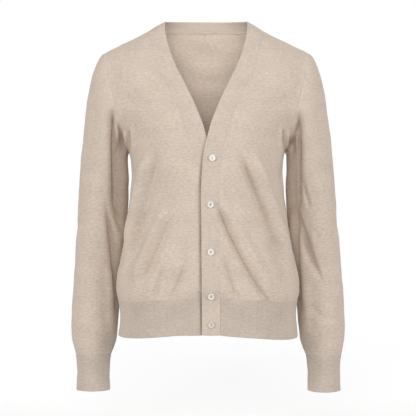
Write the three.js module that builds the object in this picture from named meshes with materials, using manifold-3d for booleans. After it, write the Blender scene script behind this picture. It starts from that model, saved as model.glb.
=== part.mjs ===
// V-neck cardigan with five buttons, in the hollow shape it has when worn, with no wearer.
// Millimetres, +Z up, front facing -Y, +X towards the wearer's left.
// The origin is midway between the two high shoulder points, where the wearer's shoulders hold it.
//
// Every cloth piece starts as a sheet: the middle surface of its wall, drawn as rows of points.
// Sheets share their points along a seam. The wall is grown from each sheet along normals that
// the sheets at a seam also share, so that neighbours meet in a clean joint and never cross.
import * as THREE from 'three';
import { mergeVertices } from 'three/addons/utils/BufferGeometryUtils.js';
import Module from 'manifold-3d';

// ---------------------------------------------------------------- driving dimensions

const JERSEY_THICKNESS = 2.0;
const RIB_THICKNESS = 2.4;
const SEAM_GAP = 0.36; // clear space left between two pieces at a seam
const FULL_LENGTH = 685; // high shoulder point to the bottom of the cuffs
const SWAY = 5; // how far the cuffs and hem hang to +X of the neck
const LAP_STEP = 3.2; // depth from the under band to the upper band
const CLOSURE_OFFSET = 5.5; // middle of the buttoned bands, measured from the neck's middle
const BAND_CROWN = 0.8; // how far a band's middle stands proud of its two edges

const BUTTON = { radius: 5.6, thickness: 2.4, rim: 1.5, dish: 0.8, holeRadius: 0.75, holeSpacing: 3.2 };
const BUTTON_HEIGHTS = [-258, -338, -422.5, -500.5, -552.5];
const BUTTON_CLEARANCE = 0.75;

const COLOURS = { jersey: 0xcdb9a5, rib: 0xc8b5a1, button: 0xe9e4da };

// Lengthwise steps, in table rows, between a sheet's rows of points.
const NECK_STEP = 5 / 7;
const ARMHOLE_STEP = 0.8;
const LOWER_STEP = 0.75;
const RIB_STEP = 1;
const PANEL_COLUMNS = 9;
const BAND_COLUMNS = 2;

// ---------------------------------------------------------------- tables

// Names the columns of a table whose rows are lists of numbers.
function table(columns, rows) {
  return rows.map((row) => Object.fromEntries(columns.map((column, i) => [column, row[i]])));
}

// One half of the garment, x measured outwards, from the shoulder seam down to the hem.
const UNDERARM = 9; // row of the underarm point
const RIB_JOINT = 18; // row where the jersey meets the hem rib
const HEM = 21;

// The band round the front: its free edge, and the seam where it is linked to the front panel.
const BAND_ROWS = table(
  ['edgeX', 'edgeY', 'edgeZ', 'seamX', 'seamY', 'seamZ'],
  [
    [76.0, 0, -0.5, 101.5, 1, -15.5], // shoulder seam
    [76.6, -16, -9.8, 101.5, -16, -22],
    [73.7, -33, -31.5, 99.5, -32, -41.5],
    [65.9, -48, -60.7, 92.0, -50, -70],
    [54.4, -62, -89.5, 80.8, -64, -102],
    [40.4, -76, -118, 66.0, -77, -132.5],
    [24.3, -90, -152, 51.0, -90.5, -166],
    [10.1, -102, -187.7, 38.8, -101.5, -198.5],
    [0, -110, -222, 29.6, -109.5, -230.5], // foot of the V
    [-8.5, -114.5, -252, 22.3, -114.5, -257],
    [-13.2, -117, -281, 18.0, -117, -283],
    [-15.5, -118, -312, 16.0, -118, -312],
    [-15.5, -117.5, -346, 16.0, -117.5, -346],
    [-15.5, -116.5, -382, 16.0, -116.5, -382],
    [-15.5, -116.5, -418, 16.0, -116.5, -418],
    [-15.5, -118, -449, 16.0, -118, -449],
    [-15.5, -119.5, -473, 16.0, -119.5, -473],
    [-15.5, -118.5, -489, 16.0, -118.5, -489],
    [-15.5, -114, -502, 16.0, -114, -502], // rib joint
    [-15.5, -111, -520, 16.0, -111, -520],
    [-15.5, -111, -544, 16.0, -111, -544],
    [-15.5, -113, -570, 16.0, -113, -570], // hem
  ],
);

// How the two bands close: `centre` is the middle of the pair of bands and `lap` the share of
// the step in depth between the upper and the under band.
const CLOSURE_ROWS = table(
  ['row', 'centre', 'lap'],
  [
    [0, 0, 0],
    [6, 0, 0],
    [7, 0, 0.5],
    [8, 0.3, 1],
    [9, CLOSURE_OFFSET * 0.5, 1],
    [10, CLOSURE_OFFSET * 0.87, 1],
    [11, CLOSURE_OFFSET, 1],
    [HEM, CLOSURE_OFFSET, 1],
  ],
);

// The band round the back of the neck, and the centre line of the back below it.
const BACK_ROWS = table(
  ['seamX', 'seamY', 'seamZ'],
  [
    [101.5, 1, -15.5], // shoulder seam
    [97, 24, -16],
    [84, 46, -16],
    [60, 66, -16],
    [30, 77, -16],
    [0, 80, -16], // middle of the back neck
    [0, 89, -45],
    [0, 97, -80],
    [0, 103, -120],
    [0, 106, -165], // level with the underarm's row
    [0, 106, -207],
    [0, 103, -248],
    [0, 98.5, -292],
    [0, 94, -345],
    [0, 92, -402],
    [0, 95, -447],
    [0, 100, -480],
    [0, 100.5, -500],
    [0, 96, -514], // rib joint
    [0, 92.5, -532],
    [0, 92, -556],
    [0, 94, -582], // hem
  ],
);
const BACK_NECK = 5; // row of the middle of the back neck
const BACK_NECK_EDGE = table(
  ['edgeX', 'edgeY', 'edgeZ'],
  [
    [76, 0, -0.5], // shoulder seam
    [73.5, 19, 1.5],
    [64, 37, 3],
    [46, 50, 4],
    [23, 58.5, 4.8],
    [0, 61, 5],
  ],
);

// The outer ends of the rows: down the front and the back of the armhole to the underarm.
const ARMHOLE_ROWS = table(
  ['frontX', 'frontY', 'frontZ', 'backX', 'backY', 'backZ'],
  [
    [190, 11, -59, 190, 11, -59], // shoulder tip
    [190, -7, -65, 190.5, 30, -66],
    [187, -22, -79, 187, 48, -81],
    [181, -35, -103, 182, 62, -103],
    [173, -42, -132, 176, 71, -128],
    [164.5, -42, -162, 169, 74, -155],
    [156.5, -35, -191, 161.5, 70, -183],
    [150, -20, -217, 153.5, 58, -209],
    [145.5, -2, -234, 147.5, 38, -230],
    [143.5, 14, -241, 143.5, 14, -241], // underarm
  ],
);

// Then down the side seam to the hem, which front and back share.
const SIDE_ROWS = table(
  ['x', 'y', 'z'],
  [
    [143.5, 14, -241], // underarm
    [139.2, 13, -254],
    [138.2, 11, -285],
    [141, 9, -325],
    [147, 7, -370],
    [155, 5, -415],
    [163, 3, -452],
    [168.8, 1.5, -480],
    [168.6, 1, -499],
    [164.5, 1, -514], // rib joint
    [161.8, 1, -532],
    [161.2, 1, -556],
    [163.5, 1, -582], // hem
  ],
);

// How full the rows are, as shares of a row's width (x), depth (y) and height (z) that its
// tangent runs at the inner end (in) and at the outer end (out); swell pushes the back outwards.
const FRONT_FULLNESS = table(
  ['row', 'inX', 'inY', 'inZ', 'outX', 'outY', 'outZ', 'swell'],
  [
    [0, 0.33, 0.33, 0.33, 0.33, 0.33, 0.33, 0],
    [1, 0.35, 0.25, 0.33, 0.33, 0.36, 0.33, 0],
    [2, 0.38, 0.15, 0.33, 0.32, 0.4, 0.33, 0],
    [4, 0.45, 0, 0.33, 0.3, 0.45, 0.33, 0],
    [6, 0.5, 0, 0.33, 0.27, 0.5, 0.33, 0],
    [7, 0.53, 0, 0.33, 0.22, 0.5, 0.33, 0],
    [8, 0.57, 0, 0.33, 0.12, 0.55, 0.33, 0],
    [UNDERARM, 0.6, 0, 0.33, 0, 0.6, 0.33, 0],
    [16, 0.62, 0, 0.33, 0, 0.6, 0.33, 0],
    [RIB_JOINT, 0.62, 0, 0.8, 0, 0.6, -0.1, 0],
    [HEM, 0.62, 0, 1, 0, 0.6, -0.4, 0],
  ],
);
const BACK_FULLNESS = table(
  ['row', 'inX', 'inY', 'inZ', 'outX', 'outY', 'outZ', 'swell'],
  [
    [0, 0.33, 0.33, 0.33, 0.33, 0.33, 0.33, 0],
    [1, 0.35, 0.33, 0.33, 0.33, 0.33, 0.33, 2],
    [2, 0.38, 0.3, 0.3, 0.32, 0.33, 0.36, 5],
    [3, 0.4, 0.2, 0.22, 0.31, 0.33, 0.4, 9],
    [BACK_NECK, 0.46, 0, 0, 0.3, 0.33, 0.45, 16],
    [6, 0.48, 0, 0, 0.28, 0.4, 0.45, 16],
    [7, 0.5, 0, 0, 0.22, 0.5, 0.45, 12],
    [8, 0.55, 0, 0, 0.1, 0.6, 0.45, 5],
    [UNDERARM, 0.6, 0, 0, 0, 0.62, 0.45, 0],
    [13, 0.6, 0, 0, 0, 0.5, 0.4, 0],
    [15, 0.6, 0, 0, 0, 0.32, 0.4, 0],
    [17, 0.6, 0, 0, 0, 0.32, 0.4, 0],
    [RIB_JOINT, 0.6, 0, 0, 0, 0.45, 0.4, 0],
    [HEM, 0.6, 0, 0, 0, 0.5, 0.4, 0],
  ],
);

// How the sleeve leaves the armhole: direction outwards, forwards (-) or back (+), and up, and
// the share of the way to the upper arm over which it keeps that direction. `turn` counts from
// the shoulder tip (0) over the front to the underarm (0.5) and over the back (1).
const CAP_ROWS = table(
  ['turn', 'outwards', 'back', 'up', 'reach'],
  [
    [0, 0.86, 0, -0.5, 0.13],
    [0.12, 0.84, -0.05, -0.54, 0.16],
    [0.25, 0.85, 0, -0.5, 0.2],
    [0.33, 0.88, -0.1, -0.46, 0.22],
    [0.39, 0.88, -0.15, -0.45, 0.22],
    [0.445, 0.94, -0.1, -0.3, 0.2],
    [0.5, 1, 0, 0, 0.16],
    [0.555, 0.96, 0.1, -0.2, 0.2],
    [0.61, 0.88, 0.1, -0.45, 0.22],
    [0.67, 0.86, 0.08, -0.5, 0.22],
    [0.78, 0.86, 0, -0.5, 0.2],
    [0.9, 0.85, 0.03, -0.53, 0.16],
    [1, 0.86, 0, -0.5, 0.13],
  ],
);
const CAP_LANDING = 0.42; // share of the way over which it already follows the upper arm

// The sleeve below the cap, then its cuff: level sections with their inner and outer edges,
// the y of their middle and their half depth.
const SLEEVE_ROWS = table(
  ['z', 'inner', 'outer', 'middle', 'depth'],
  [
    [-300, 147.5, 237.0, 28, 53],
    [-345, 149.5, 240.6, 32, 52],
    [-392, 152.5, 244.0, 36, 51],
    [-440, 157.5, 247.6, 39, 50],
    [-488, 163.5, 251.2, 41, 49],
    [-530, 167.5, 253.8, 40, 48],
    [-562, 169.5, 254.6, 38, 47],
    [-586, 172.5, 253.2, 36, 45],
    [-604, 178.0, 250.2, 35, 41.5],
    [-618, 184.0, 247.0, 34, 37.5], // joint with the cuff
    [-630, 185.8, 245.2, 34, 36],
    [-655, 186.4, 244.6, 33, 35],
    [-683, 185.6, 245.6, 32, 36], // bottom of the cuff
  ],
);
const CUFF_JOINT = 9; // row where the sleeve meets its cuff
const CUFF_END = 12;
const CUFF_DIP = 3; // how much lower the front of the cuff hangs

// The largest folds, as seen from the front: a trough (depth > 0) or ridge (depth < 0) along a
// bent line from start over mid to end, in x and z, with its width and the pieces it crosses.
const FOLDS = [
  { pieces: ['front_left'], start: [24, -352], mid: [72, -428], end: [119, -503], depth: 5, width: 9 },
  { pieces: ['front_left'], start: [101, -376], mid: [122, -424], end: [139, -463], depth: 3, width: 9 },
  { pieces: ['front_right'], start: [-92, -398], mid: [-122, -446], end: [-147, -484], depth: 4, width: 9 },
  { pieces: ['front_right'], start: [-54, -433], mid: [-82, -466], end: [-106, -492], depth: 3, width: 8 },
  { pieces: ['front_right'], start: [-132, -262], mid: [-141, -310], end: [-146, -372], depth: -3, width: 7 },
  { pieces: ['sleeve_right'], start: [-182, -176], mid: [-174, -245], end: [-166, -392], depth: 6, width: 8 },
  { pieces: ['sleeve_left'], start: [170, -178], mid: [172, -262], end: [176, -356], depth: 6, width: 8 },
  { pieces: ['sleeve_left'], start: [180, -345], mid: [192, -392], end: [203, -436], depth: 4, width: 8 },
];
const FOLD_FADE = 0.18; // share of a fold's length over which it fades in and out

// ---------------------------------------------------------------- curves through the tables

// Smooth value of a column at a place counted in rows, on the rows first to last.
function along(rows, column, place, first = 0, last = rows.length - 1) {
  const i = Math.min(Math.max(Math.floor(place), first), last - 1);
  const value = (k) => rows[Math.min(Math.max(k, first), last)][column];
  const slope = (k) => {
    const span = k === first || k === last ? 1 : 2;
    return (value(k + 1) - value(k - 1)) / span;
  };
  return hermite(value(i), value(i + 1), slope(i), slope(i + 1), place - i);
}

function hermite(a, b, slopeA, slopeB, t) {
  const s = t * t * (3 - 2 * t);
  return a + (b - a) * s + slopeA * t * (1 - t) ** 2 - slopeB * t * t * (1 - t);
}

// Value of a column between rows that are keyed by another column, eased from row to row.
function keyed(rows, key, column, place) {
  let i = rows.findIndex((row, k) => k > 0 && place <= row[key]) - 1;
  if (i < 0) i = rows.length - 2;
  const share = THREE.MathUtils.clamp((place - rows[i][key]) / (rows[i + 1][key] - rows[i][key]), 0, 1);
  return THREE.MathUtils.lerp(rows[i][column], rows[i + 1][column], share);
}

function bezier(a, b, c, d, t) {
  const u = 1 - t;
  const blend = (k) => u * u * u * a[k] + 3 * u * u * t * b[k] + 3 * u * t * t * c[k] + t * t * t * d[k];
  return new THREE.Vector3(blend('x'), blend('y'), blend('z'));
}

function steps(first, last, step) {
  const count = Math.round((last - first) / step);
  return Array.from({ length: count + 1 }, (_, i) => first + ((last - first) * i) / count);
}

// ---------------------------------------------------------------- lines on the garment

// side is +1 on the wearer's left, where the band lies on top, and -1 on the wearer's right.
function closureShift(row) {
  return keyed(CLOSURE_ROWS, 'row', 'centre', row);
}

function frontLine(which, row, side) {
  const lap = -side * (LAP_STEP / 2) * keyed(CLOSURE_ROWS, 'row', 'lap', row);
  return new THREE.Vector3(
    side * along(BAND_ROWS, `${which}X`, row) + closureShift(row),
    along(BAND_ROWS, `${which}Y`, row) + lap,
    along(BAND_ROWS, `${which}Z`, row),
  );
}

function backSeam(row, side) {
  const x = row >= BACK_NECK ? 0 : along(BACK_ROWS, 'seamX', row, 0, BACK_NECK);
  return new THREE.Vector3(side * x, along(BACK_ROWS, 'seamY', row), along(BACK_ROWS, 'seamZ', row));
}

function sideLine(face, row, side) {
  if (row <= UNDERARM) {
    return new THREE.Vector3(
      side * along(ARMHOLE_ROWS, `${face}X`, row),
      along(ARMHOLE_ROWS, `${face}Y`, row),
      along(ARMHOLE_ROWS, `${face}Z`, row),
    );
  }
  const place = row - UNDERARM;
  const [x, y, z] = ['x', 'y', 'z'].map((column) => along(SIDE_ROWS, column, place));
  return new THREE.Vector3(side * x, y, z);
}

// A row across a panel: from its inner end to its outer end, as full as the table says.
function panelPoint(inner, outer, fullness, row, t) {
  const share = (column) => keyed(fullness, 'row', column, row);
  const span = outer.clone().sub(inner);
  const leave = new THREE.Vector3(share('inX'), share('inY'), share('inZ')).multiply(span).add(inner);
  const arrive = new THREE.Vector3(-share('outX'), -share('outY'), -share('outZ')).multiply(span).add(outer);
  arrive.y += share('swell');
  return bezier(inner, leave, arrive, outer, t);
}

// ---------------------------------------------------------------- sheets

// A sheet is a grid of points as rows of equal length, wound so that it faces outwards.
function sheetFromRows(rows, flip) {
  const columns = rows[0].length;
  const points = rows.flat();
  const triangles = [];
  for (let i = 0; i + 1 < rows.length; i += 1) {
    for (let j = 0; j + 1 < columns; j += 1) {
      const a = i * columns + j;
      const b = a + columns;
      const quad = [[a, b, a + 1], [a + 1, b, b + 1]];
      quad.forEach(([p, q, r]) => triangles.push(flip ? [p, r, q] : [p, q, r]));
    }
  }
  return { points, triangles };
}

function joinSheets(first, second) {
  const offset = first.points.length;
  const moved = second.triangles.map((triangle) => triangle.map((k) => k + offset));
  return { points: [...first.points, ...second.points], triangles: [...first.triangles, ...moved] };
}

const UPPER_ROWS = [
  ...steps(0, BACK_NECK, NECK_STEP),
  ...steps(BACK_NECK, UNDERARM, ARMHOLE_STEP).slice(1),
];
const BODY_ROWS = [...UPPER_ROWS, ...steps(UNDERARM, RIB_JOINT, LOWER_STEP).slice(1)];
const HEM_ROWS = steps(RIB_JOINT, HEM, RIB_STEP);
const BACK_NECK_ROWS = UPPER_ROWS.filter((row) => row < BACK_NECK);

function frontPanel(rows, side) {
  const across = steps(0, 1, 1 / PANEL_COLUMNS);
  const grid = rows.map((row) => {
    const inner = frontLine('seam', row, side);
    const outer = sideLine('front', row, side);
    return across.map((t) => panelPoint(inner, outer, FRONT_FULLNESS, row, t));
  });
  return sheetFromRows(grid, side < 0);
}

function backPanel(rows) {
  const across = steps(0, 1, 1 / PANEL_COLUMNS);
  const half = (side) => {
    const grid = rows.map((row) => {
      const inner = backSeam(row, side);
      const outer = sideLine('back', row, side);
      return across.map((t) => panelPoint(inner, outer, BACK_FULLNESS, row, t));
    });
    return sheetFromRows(grid, side > 0);
  };
  return joinSheets(half(-1), half(1));
}

function frontBand(side) {
  const grid = [...BODY_ROWS, ...HEM_ROWS.slice(1)].map((row) => bandRow(
    frontLine('seam', row, side),
    frontLine('edge', row, side),
    new THREE.Vector3(0, -1, 0),
  ));
  return sheetFromRows(grid, side > 0);
}

// The band's points from its seam to its free edge, crowned towards `out`.
function bandRow(seam, edge, out) {
  return steps(0, 1, 1 / BAND_COLUMNS).map((t) => {
    const crown = BAND_CROWN * 4 * t * (1 - t);
    return seam.clone().lerp(edge, t).addScaledVector(out, crown);
  });
}

function neckband() {
  const grid = [];
  const place = (row) => Math.min(row, BACK_NECK);
  const rowAt = (row, side) => {
    const [x, y, z] = ['edgeX', 'edgeY', 'edgeZ'].map((c) => along(BACK_NECK_EDGE, c, place(row)));
    const edge = new THREE.Vector3(side * x, y, z);
    const seam = backSeam(row, side);
    return bandRow(seam, edge, new THREE.Vector3(0, 0.7, 0.7));
  };
  BACK_NECK_ROWS.forEach((row) => grid.push(rowAt(row, -1)));
  grid.push(rowAt(BACK_NECK, 1));
  [...BACK_NECK_ROWS].reverse().forEach((row) => grid.push(rowAt(row, 1)));
  return sheetFromRows(grid, true);
}

// Points all round the armhole, from the shoulder tip over the front and the underarm.
function armhole(side) {
  const front = UPPER_ROWS.map((row) => sideLine('front', row, side));
  const back = [...UPPER_ROWS].reverse().map((row) => sideLine('back', row, side));
  return [...front, ...back.slice(1)];
}

// A level section of the sleeve at a turn of 0 (outside) over 0.25 (front) to 0.5 (inside).
function sleevePoint(place, turn, side) {
  const [z, inner, outer, middle, depth] = ['z', 'inner', 'outer', 'middle', 'depth']
    .map((column) => along(SLEEVE_ROWS, column, place));
  const angle = turn * 2 * Math.PI;
  const dip = CUFF_DIP * Math.sin(angle) * THREE.MathUtils.smoothstep(place, CUFF_JOINT - 1, CUFF_END);
  return new THREE.Vector3(
    side * ((inner + outer) / 2 + ((outer - inner) / 2) * Math.cos(angle)),
    middle - depth * Math.sin(angle),
    z - dip,
  );
}

const CAP_STEPS = [0, 0.08, 0.2, 0.36, 0.54, 0.76];
const SLEEVE_STEPS = steps(0, CUFF_JOINT, 1);
const CUFF_STEPS = steps(CUFF_JOINT, CUFF_END, 1);

function sleeve(side) {
  const ring = armhole(side);
  const turns = ring.map((_, i) => i / (ring.length - 1));
  const cap = CAP_STEPS.map((t) => ring.map((start, i) => {
    const end = sleevePoint(0, turns[i], side);
    const length = start.distanceTo(end);
    const [x, y, z, reach] = ['outwards', 'back', 'up', 'reach']
      .map((column) => keyed(CAP_ROWS, 'turn', column, turns[i]));
    const leave = new THREE.Vector3(side * x, y, z).normalize().multiplyScalar(reach * length).add(start);
    const arrive = end.clone();
    arrive.add(sleeveAxis(turns[i], side).multiplyScalar(CAP_LANDING * length));
    return bezier(start, leave, arrive, end, t);
  }));
  const tube = SLEEVE_STEPS.map((place) => turns.map((turn) => sleevePoint(place, turn, side)));
  return sheetFromRows([...cap, ...tube], side > 0);
}

// Upward direction of the sleeve's surface where the cap lands on it.
function sleeveAxis(turn, side) {
  return sleevePoint(0, turn, side).sub(sleevePoint(0.25, turn, side)).normalize();
}

function cuff(side) {
  const ring = armhole(side);
  const turns = ring.map((_, i) => i / (ring.length - 1));
  const grid = CUFF_STEPS.map((place) => turns.map((turn) => sleevePoint(place, turn, side)));
  return sheetFromRows(grid, side > 0);
}

// ---------------------------------------------------------------- the whole garment's skin

const CLOTH = [
  { name: 'back', slot: 'jersey', sheet: backPanel(BODY_ROWS) },
  { name: 'front_left', slot: 'jersey', sheet: frontPanel(BODY_ROWS, 1) },
  { name: 'front_right', slot: 'jersey', sheet: frontPanel(BODY_ROWS, -1) },
  { name: 'sleeve_left', slot: 'jersey', sheet: sleeve(1) },
  { name: 'sleeve_right', slot: 'jersey', sheet: sleeve(-1) },
  { name: 'hem_back', slot: 'rib', sheet: backPanel(HEM_ROWS) },
  { name: 'hem_front_left', slot: 'rib', sheet: frontPanel(HEM_ROWS, 1) },
  { name: 'hem_front_right', slot: 'rib', sheet: frontPanel(HEM_ROWS, -1) },
  { name: 'cuff_left', slot: 'rib', sheet: cuff(1) },
  { name: 'cuff_right', slot: 'rib', sheet: cuff(-1) },
  { name: 'band_left', slot: 'rib', sheet: frontBand(1) },
  { name: 'band_right', slot: 'rib', sheet: frontBand(-1) },
  { name: 'neckband_back', slot: 'rib', sheet: neckband() },
];

// Points of different sheets at one place share a key, and so a normal.
function placeKey(point) {
  return [point.x, point.y, point.z].map((value) => Math.round(value * 50 + 0.13)).join(' ');
}

// Welds a sheet's own points that lie at one place, such as where a tube closes on itself.
function weld(sheet) {
  const indexOf = new Map();
  const points = [];
  const remap = sheet.points.map((point) => {
    const key = placeKey(point);
    if (!indexOf.has(key)) {
      indexOf.set(key, points.length);
      points.push(point.clone());
    }
    return indexOf.get(key);
  });
  const triangles = sheet.triangles
    .map((triangle) => triangle.map((k) => remap[k]))
    .filter(([a, b, c]) => a !== b && b !== c && c !== a);
  return { points, triangles };
}

function faceVector(sheet, [a, b, c]) {
  const ab = sheet.points[b].clone().sub(sheet.points[a]);
  const ac = sheet.points[c].clone().sub(sheet.points[a]);
  return ab.cross(ac);
}

// One sheet's own normal at each of its points.
function sheetNormals(sheet) {
  const normals = sheet.points.map(() => new THREE.Vector3());
  sheet.triangles.forEach((triangle) => {
    const vector = faceVector(sheet, triangle);
    triangle.forEach((k) => normals[k].add(vector));
  });
  return normals.map((normal) => normal.normalize());
}

// Normals by place: where sheets meet, the direction halfway between theirs.
function sharedNormals(pieces) {
  const normals = new Map();
  pieces.forEach(({ sheet }) => sheetNormals(sheet).forEach((normal, k) => {
    const key = placeKey(sheet.points[k]);
    if (!normals.has(key)) normals.set(key, new THREE.Vector3());
    normals.get(key).add(normal);
  }));
  normals.forEach((normal) => normal.normalize());
  return normals;
}

// Depth of one fold at a point of the garment's front.
function foldDepth(fold, point) {
  const samples = 24;
  let nearest = { distance: Infinity, share: 0 };
  for (let i = 0; i <= samples; i += 1) {
    const t = i / samples;
    const u = 1 - t;
    const x = u * u * fold.start[0] + 2 * u * t * fold.mid[0] + t * t * fold.end[0];
    const z = u * u * fold.start[1] + 2 * u * t * fold.mid[1] + t * t * fold.end[1];
    const distance = Math.hypot(point.x - x, point.z - z);
    if (distance < nearest.distance) nearest = { distance, share: t };
  }
  const fade = THREE.MathUtils.smoothstep(nearest.share, 0, FOLD_FADE)
    * THREE.MathUtils.smoothstep(1 - nearest.share, 0, FOLD_FADE);
  return fold.depth * fade * Math.exp(-((nearest.distance / fold.width) ** 2));
}

// Pushes the sheets in along the folds; a point on a seam moves with every sheet it is in.
function pressFolds(pieces) {
  const normals = sharedNormals(pieces);
  const moves = new Map();
  pieces.forEach(({ name, sheet }) => sheet.points.forEach((point) => {
    const key = placeKey(point);
    const normal = normals.get(key);
    if (normal.y > 0) return;
    const depth = FOLDS.filter((fold) => fold.pieces.includes(name))
      .reduce((sum, fold) => sum + foldDepth(fold, point), 0);
    if (depth !== 0) moves.set(key, normal.clone().multiplyScalar(-depth));
  }));
  pieces.forEach(({ sheet }) => {
    const shifts = sheet.points.map((point) => moves.get(placeKey(point)));
    shifts.forEach((shift, k) => {
      if (shift) sheet.points[k].add(shift);
    });
  });
}

// The garment hangs a little to one side below the neck.
function swayed(point) {
  point.x += (SWAY * -point.z) / FULL_LENGTH;
}

// ---------------------------------------------------------------- walls

function edgeKey(a, b) {
  return a < b ? `${a} ${b}` : `${b} ${a}`;
}

// Directed edges that belong to one triangle only: the sheet's outline.
function outline(sheet) {
  const uses = new Map();
  const directed = [];
  sheet.triangles.forEach(([a, b, c]) => [[a, b], [b, c], [c, a]].forEach(([p, q]) => {
    uses.set(edgeKey(p, q), (uses.get(edgeKey(p, q)) ?? 0) + 1);
    directed.push([p, q]);
  }));
  return directed.filter(([p, q]) => uses.get(edgeKey(p, q)) === 1);
}

// Draws the sheet's outline in by half the seam gap, within the sheet's own surface.
function drawIn(sheet, rim, normals) {
  const neighbours = sheet.points.map(() => new Set());
  sheet.triangles.forEach((triangle) => triangle.forEach((k) => {
    triangle.filter((other) => other !== k).forEach((other) => neighbours[k].add(other));
  }));
  const before = new Map(rim.map(([p, q]) => [q, p]));
  const shifts = rim.map(([k, after]) => {
    const point = sheet.points[k];
    const inward = new THREE.Vector3();
    neighbours[k].forEach((other) => inward.add(sheet.points[other].clone().sub(point).normalize()));
    const tangent = sheet.points[after].clone().sub(sheet.points[before.get(k)]).normalize();
    inward.addScaledVector(tangent, -inward.dot(tangent));
    inward.addScaledVector(normals[k], -inward.dot(normals[k]));
    return [k, inward.setLength(SEAM_GAP / 2)];
  });
  shifts.forEach(([k, shift]) => sheet.points[k].add(shift));
}

// Tells the ends of an edge apart, alike on both sides of a seam, so that the two end walls that
// face each other there are split along the same diagonal.
function rank(point) {
  return point.z + 0.3 * point.x + 0.1 * point.y;
}

// The closed wall of a sheet, half its thickness to either side.
function wall(sheet, normals, thickness) {
  const rim = outline(sheet);
  drawIn(sheet, rim, normals);
  const count = sheet.points.length;
  const positions = [];
  [thickness / 2, -thickness / 2].forEach((offset) => sheet.points.forEach((point, k) => {
    const moved = point.clone().addScaledVector(normals[k], offset);
    positions.push(moved.x, moved.y, moved.z);
  }));
  const index = [];
  sheet.triangles.forEach(([a, b, c]) => index.push(a, b, c, a + count, c + count, b + count));
  rim.forEach(([p, q]) => {
    if (rank(sheet.points[p]) < rank(sheet.points[q])) {
      index.push(q, p, p + count, q, p + count, q + count);
    } else {
      index.push(q, p, q + count, p, p + count, q + count);
    }
  });
  const geometry = new THREE.BufferGeometry();
  geometry.setAttribute('position', new THREE.Float32BufferAttribute(positions, 3));
  geometry.setIndex(index);
  return geometry;
}

// ---------------------------------------------------------------- buttons

const wasm = await Module();
wasm.setup();

function solidFrom(geometry) {
  const bare = geometry.clone();
  bare.deleteAttribute('normal');
  bare.deleteAttribute('uv');
  const merged = mergeVertices(bare, 1e-4);
  return new wasm.Manifold(new wasm.Mesh({
    numProp: 3,
    vertProperties: new Float32Array(merged.attributes.position.array),
    triVerts: new Uint32Array(merged.index.array),
  }));
}

function geometryFrom(solid) {
  const mesh = solid.getMesh();
  const geometry = new THREE.BufferGeometry();
  geometry.setAttribute('position', new THREE.Float32BufferAttribute(mesh.vertProperties, 3));
  geometry.setIndex(new THREE.Uint32BufferAttribute(mesh.triVerts, 1));
  return geometry;
}

// A turned button, face up along +Y of the lathe: raised rim, dished middle, two sewing holes.
function buttonGeometry() {
  const { radius, thickness, rim, dish, holeRadius, holeSpacing } = BUTTON;
  const round = thickness / 4;
  const profile = [
    [0, 0],
    [radius - round, 0],
    [radius, round],
    [radius, thickness - round],
    [radius - round, thickness],
    [radius - rim, thickness],
    [radius - rim - dish, thickness - dish],
    [0, thickness - dish],
  ].map(([x, y]) => new THREE.Vector2(x, y));
  const disc = solidFrom(new THREE.LatheGeometry(profile, 24));
  return [-1, 1].reduce((solid, end) => {
    const drill = new THREE.CylinderGeometry(holeRadius, holeRadius, 3 * thickness, 10);
    drill.translate(0, 0, (end * holeSpacing) / 2);
    return solid.subtract(solidFrom(drill));
  }, disc);
}

// The row at which the upper band's seam reaches a height.
function rowAtHeight(height) {
  let [low, high] = [0, HEM];
  while (high - low > 1e-4) {
    const middle = (low + high) / 2;
    if (frontLine('seam', middle, 1).z > height) low = middle;
    else high = middle;
  }
  return low;
}

function buttonPlace(height) {
  const middle = (row) => frontLine('seam', row, 1).lerp(frontLine('edge', row, 1), 0.5);
  const row = rowAtHeight(height);
  const place = middle(row);
  const down = middle(row + 0.2).sub(middle(row - 0.2)).normalize();
  const across = frontLine('seam', row, 1).sub(frontLine('edge', row, 1)).normalize();
  const out = down.clone().cross(across).normalize();
  if (out.y > 0) out.negate();
  swayed(place);
  place.addScaledVector(out, BAND_CROWN + RIB_THICKNESS / 2 + BUTTON_CLEARANCE);
  return { place, out };
}

// ---------------------------------------------------------------- the model

function material(slot, roughness) {
  return new THREE.MeshStandardMaterial({ color: COLOURS[slot], roughness, metalness: 0 });
}

const cardigan = new THREE.Group();

CLOTH.forEach((piece) => {
  piece.sheet = weld(piece.sheet);
});
pressFolds(CLOTH);
CLOTH.forEach(({ sheet }) => sheet.points.forEach(swayed));
const skinNormals = sharedNormals(CLOTH);
CLOTH.forEach(({ name, slot, sheet }) => {
  const normals = sheet.points.map((point) => skinNormals.get(placeKey(point)));
  const thickness = slot === 'rib' ? RIB_THICKNESS : JERSEY_THICKNESS;
  const mesh = new THREE.Mesh(wall(sheet, normals, thickness), material(slot, 0.95));
  mesh.name = name;
  cardigan.add(mesh);
});

const buttonSolid = geometryFrom(buttonGeometry());
BUTTON_HEIGHTS.forEach((height, i) => {
  const { place, out } = buttonPlace(height);
  const mesh = new THREE.Mesh(buttonSolid.clone(), material('button', 0.35));
  mesh.name = `button_${i + 1}`;
  mesh.position.copy(place);
  mesh.quaternion.setFromUnitVectors(new THREE.Vector3(0, 1, 0), out);
  cardigan.add(mesh);
});

export default cardigan;
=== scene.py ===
"""V-neck cardigan with five buttons: the worn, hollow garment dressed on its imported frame.

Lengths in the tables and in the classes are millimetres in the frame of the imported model: +Z up,
front facing -Y, +X towards the wearer's left. A mesh is turned into metres when it is made.

Every cloth piece is a skin, a function from two numbers (how far down, how far across) to a point
on the middle surface of the wall. The skin is read on a fine grid, pushed in and out by folds,
soft waves, ribs and seams, and then given its two faces and its rounded edges.
"""

import functools
import logging
import math
from abc import ABC, abstractmethod
from dataclasses import dataclass, field
from enum import Enum, IntEnum
from typing import Callable, Iterator, Optional, Sequence

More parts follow.
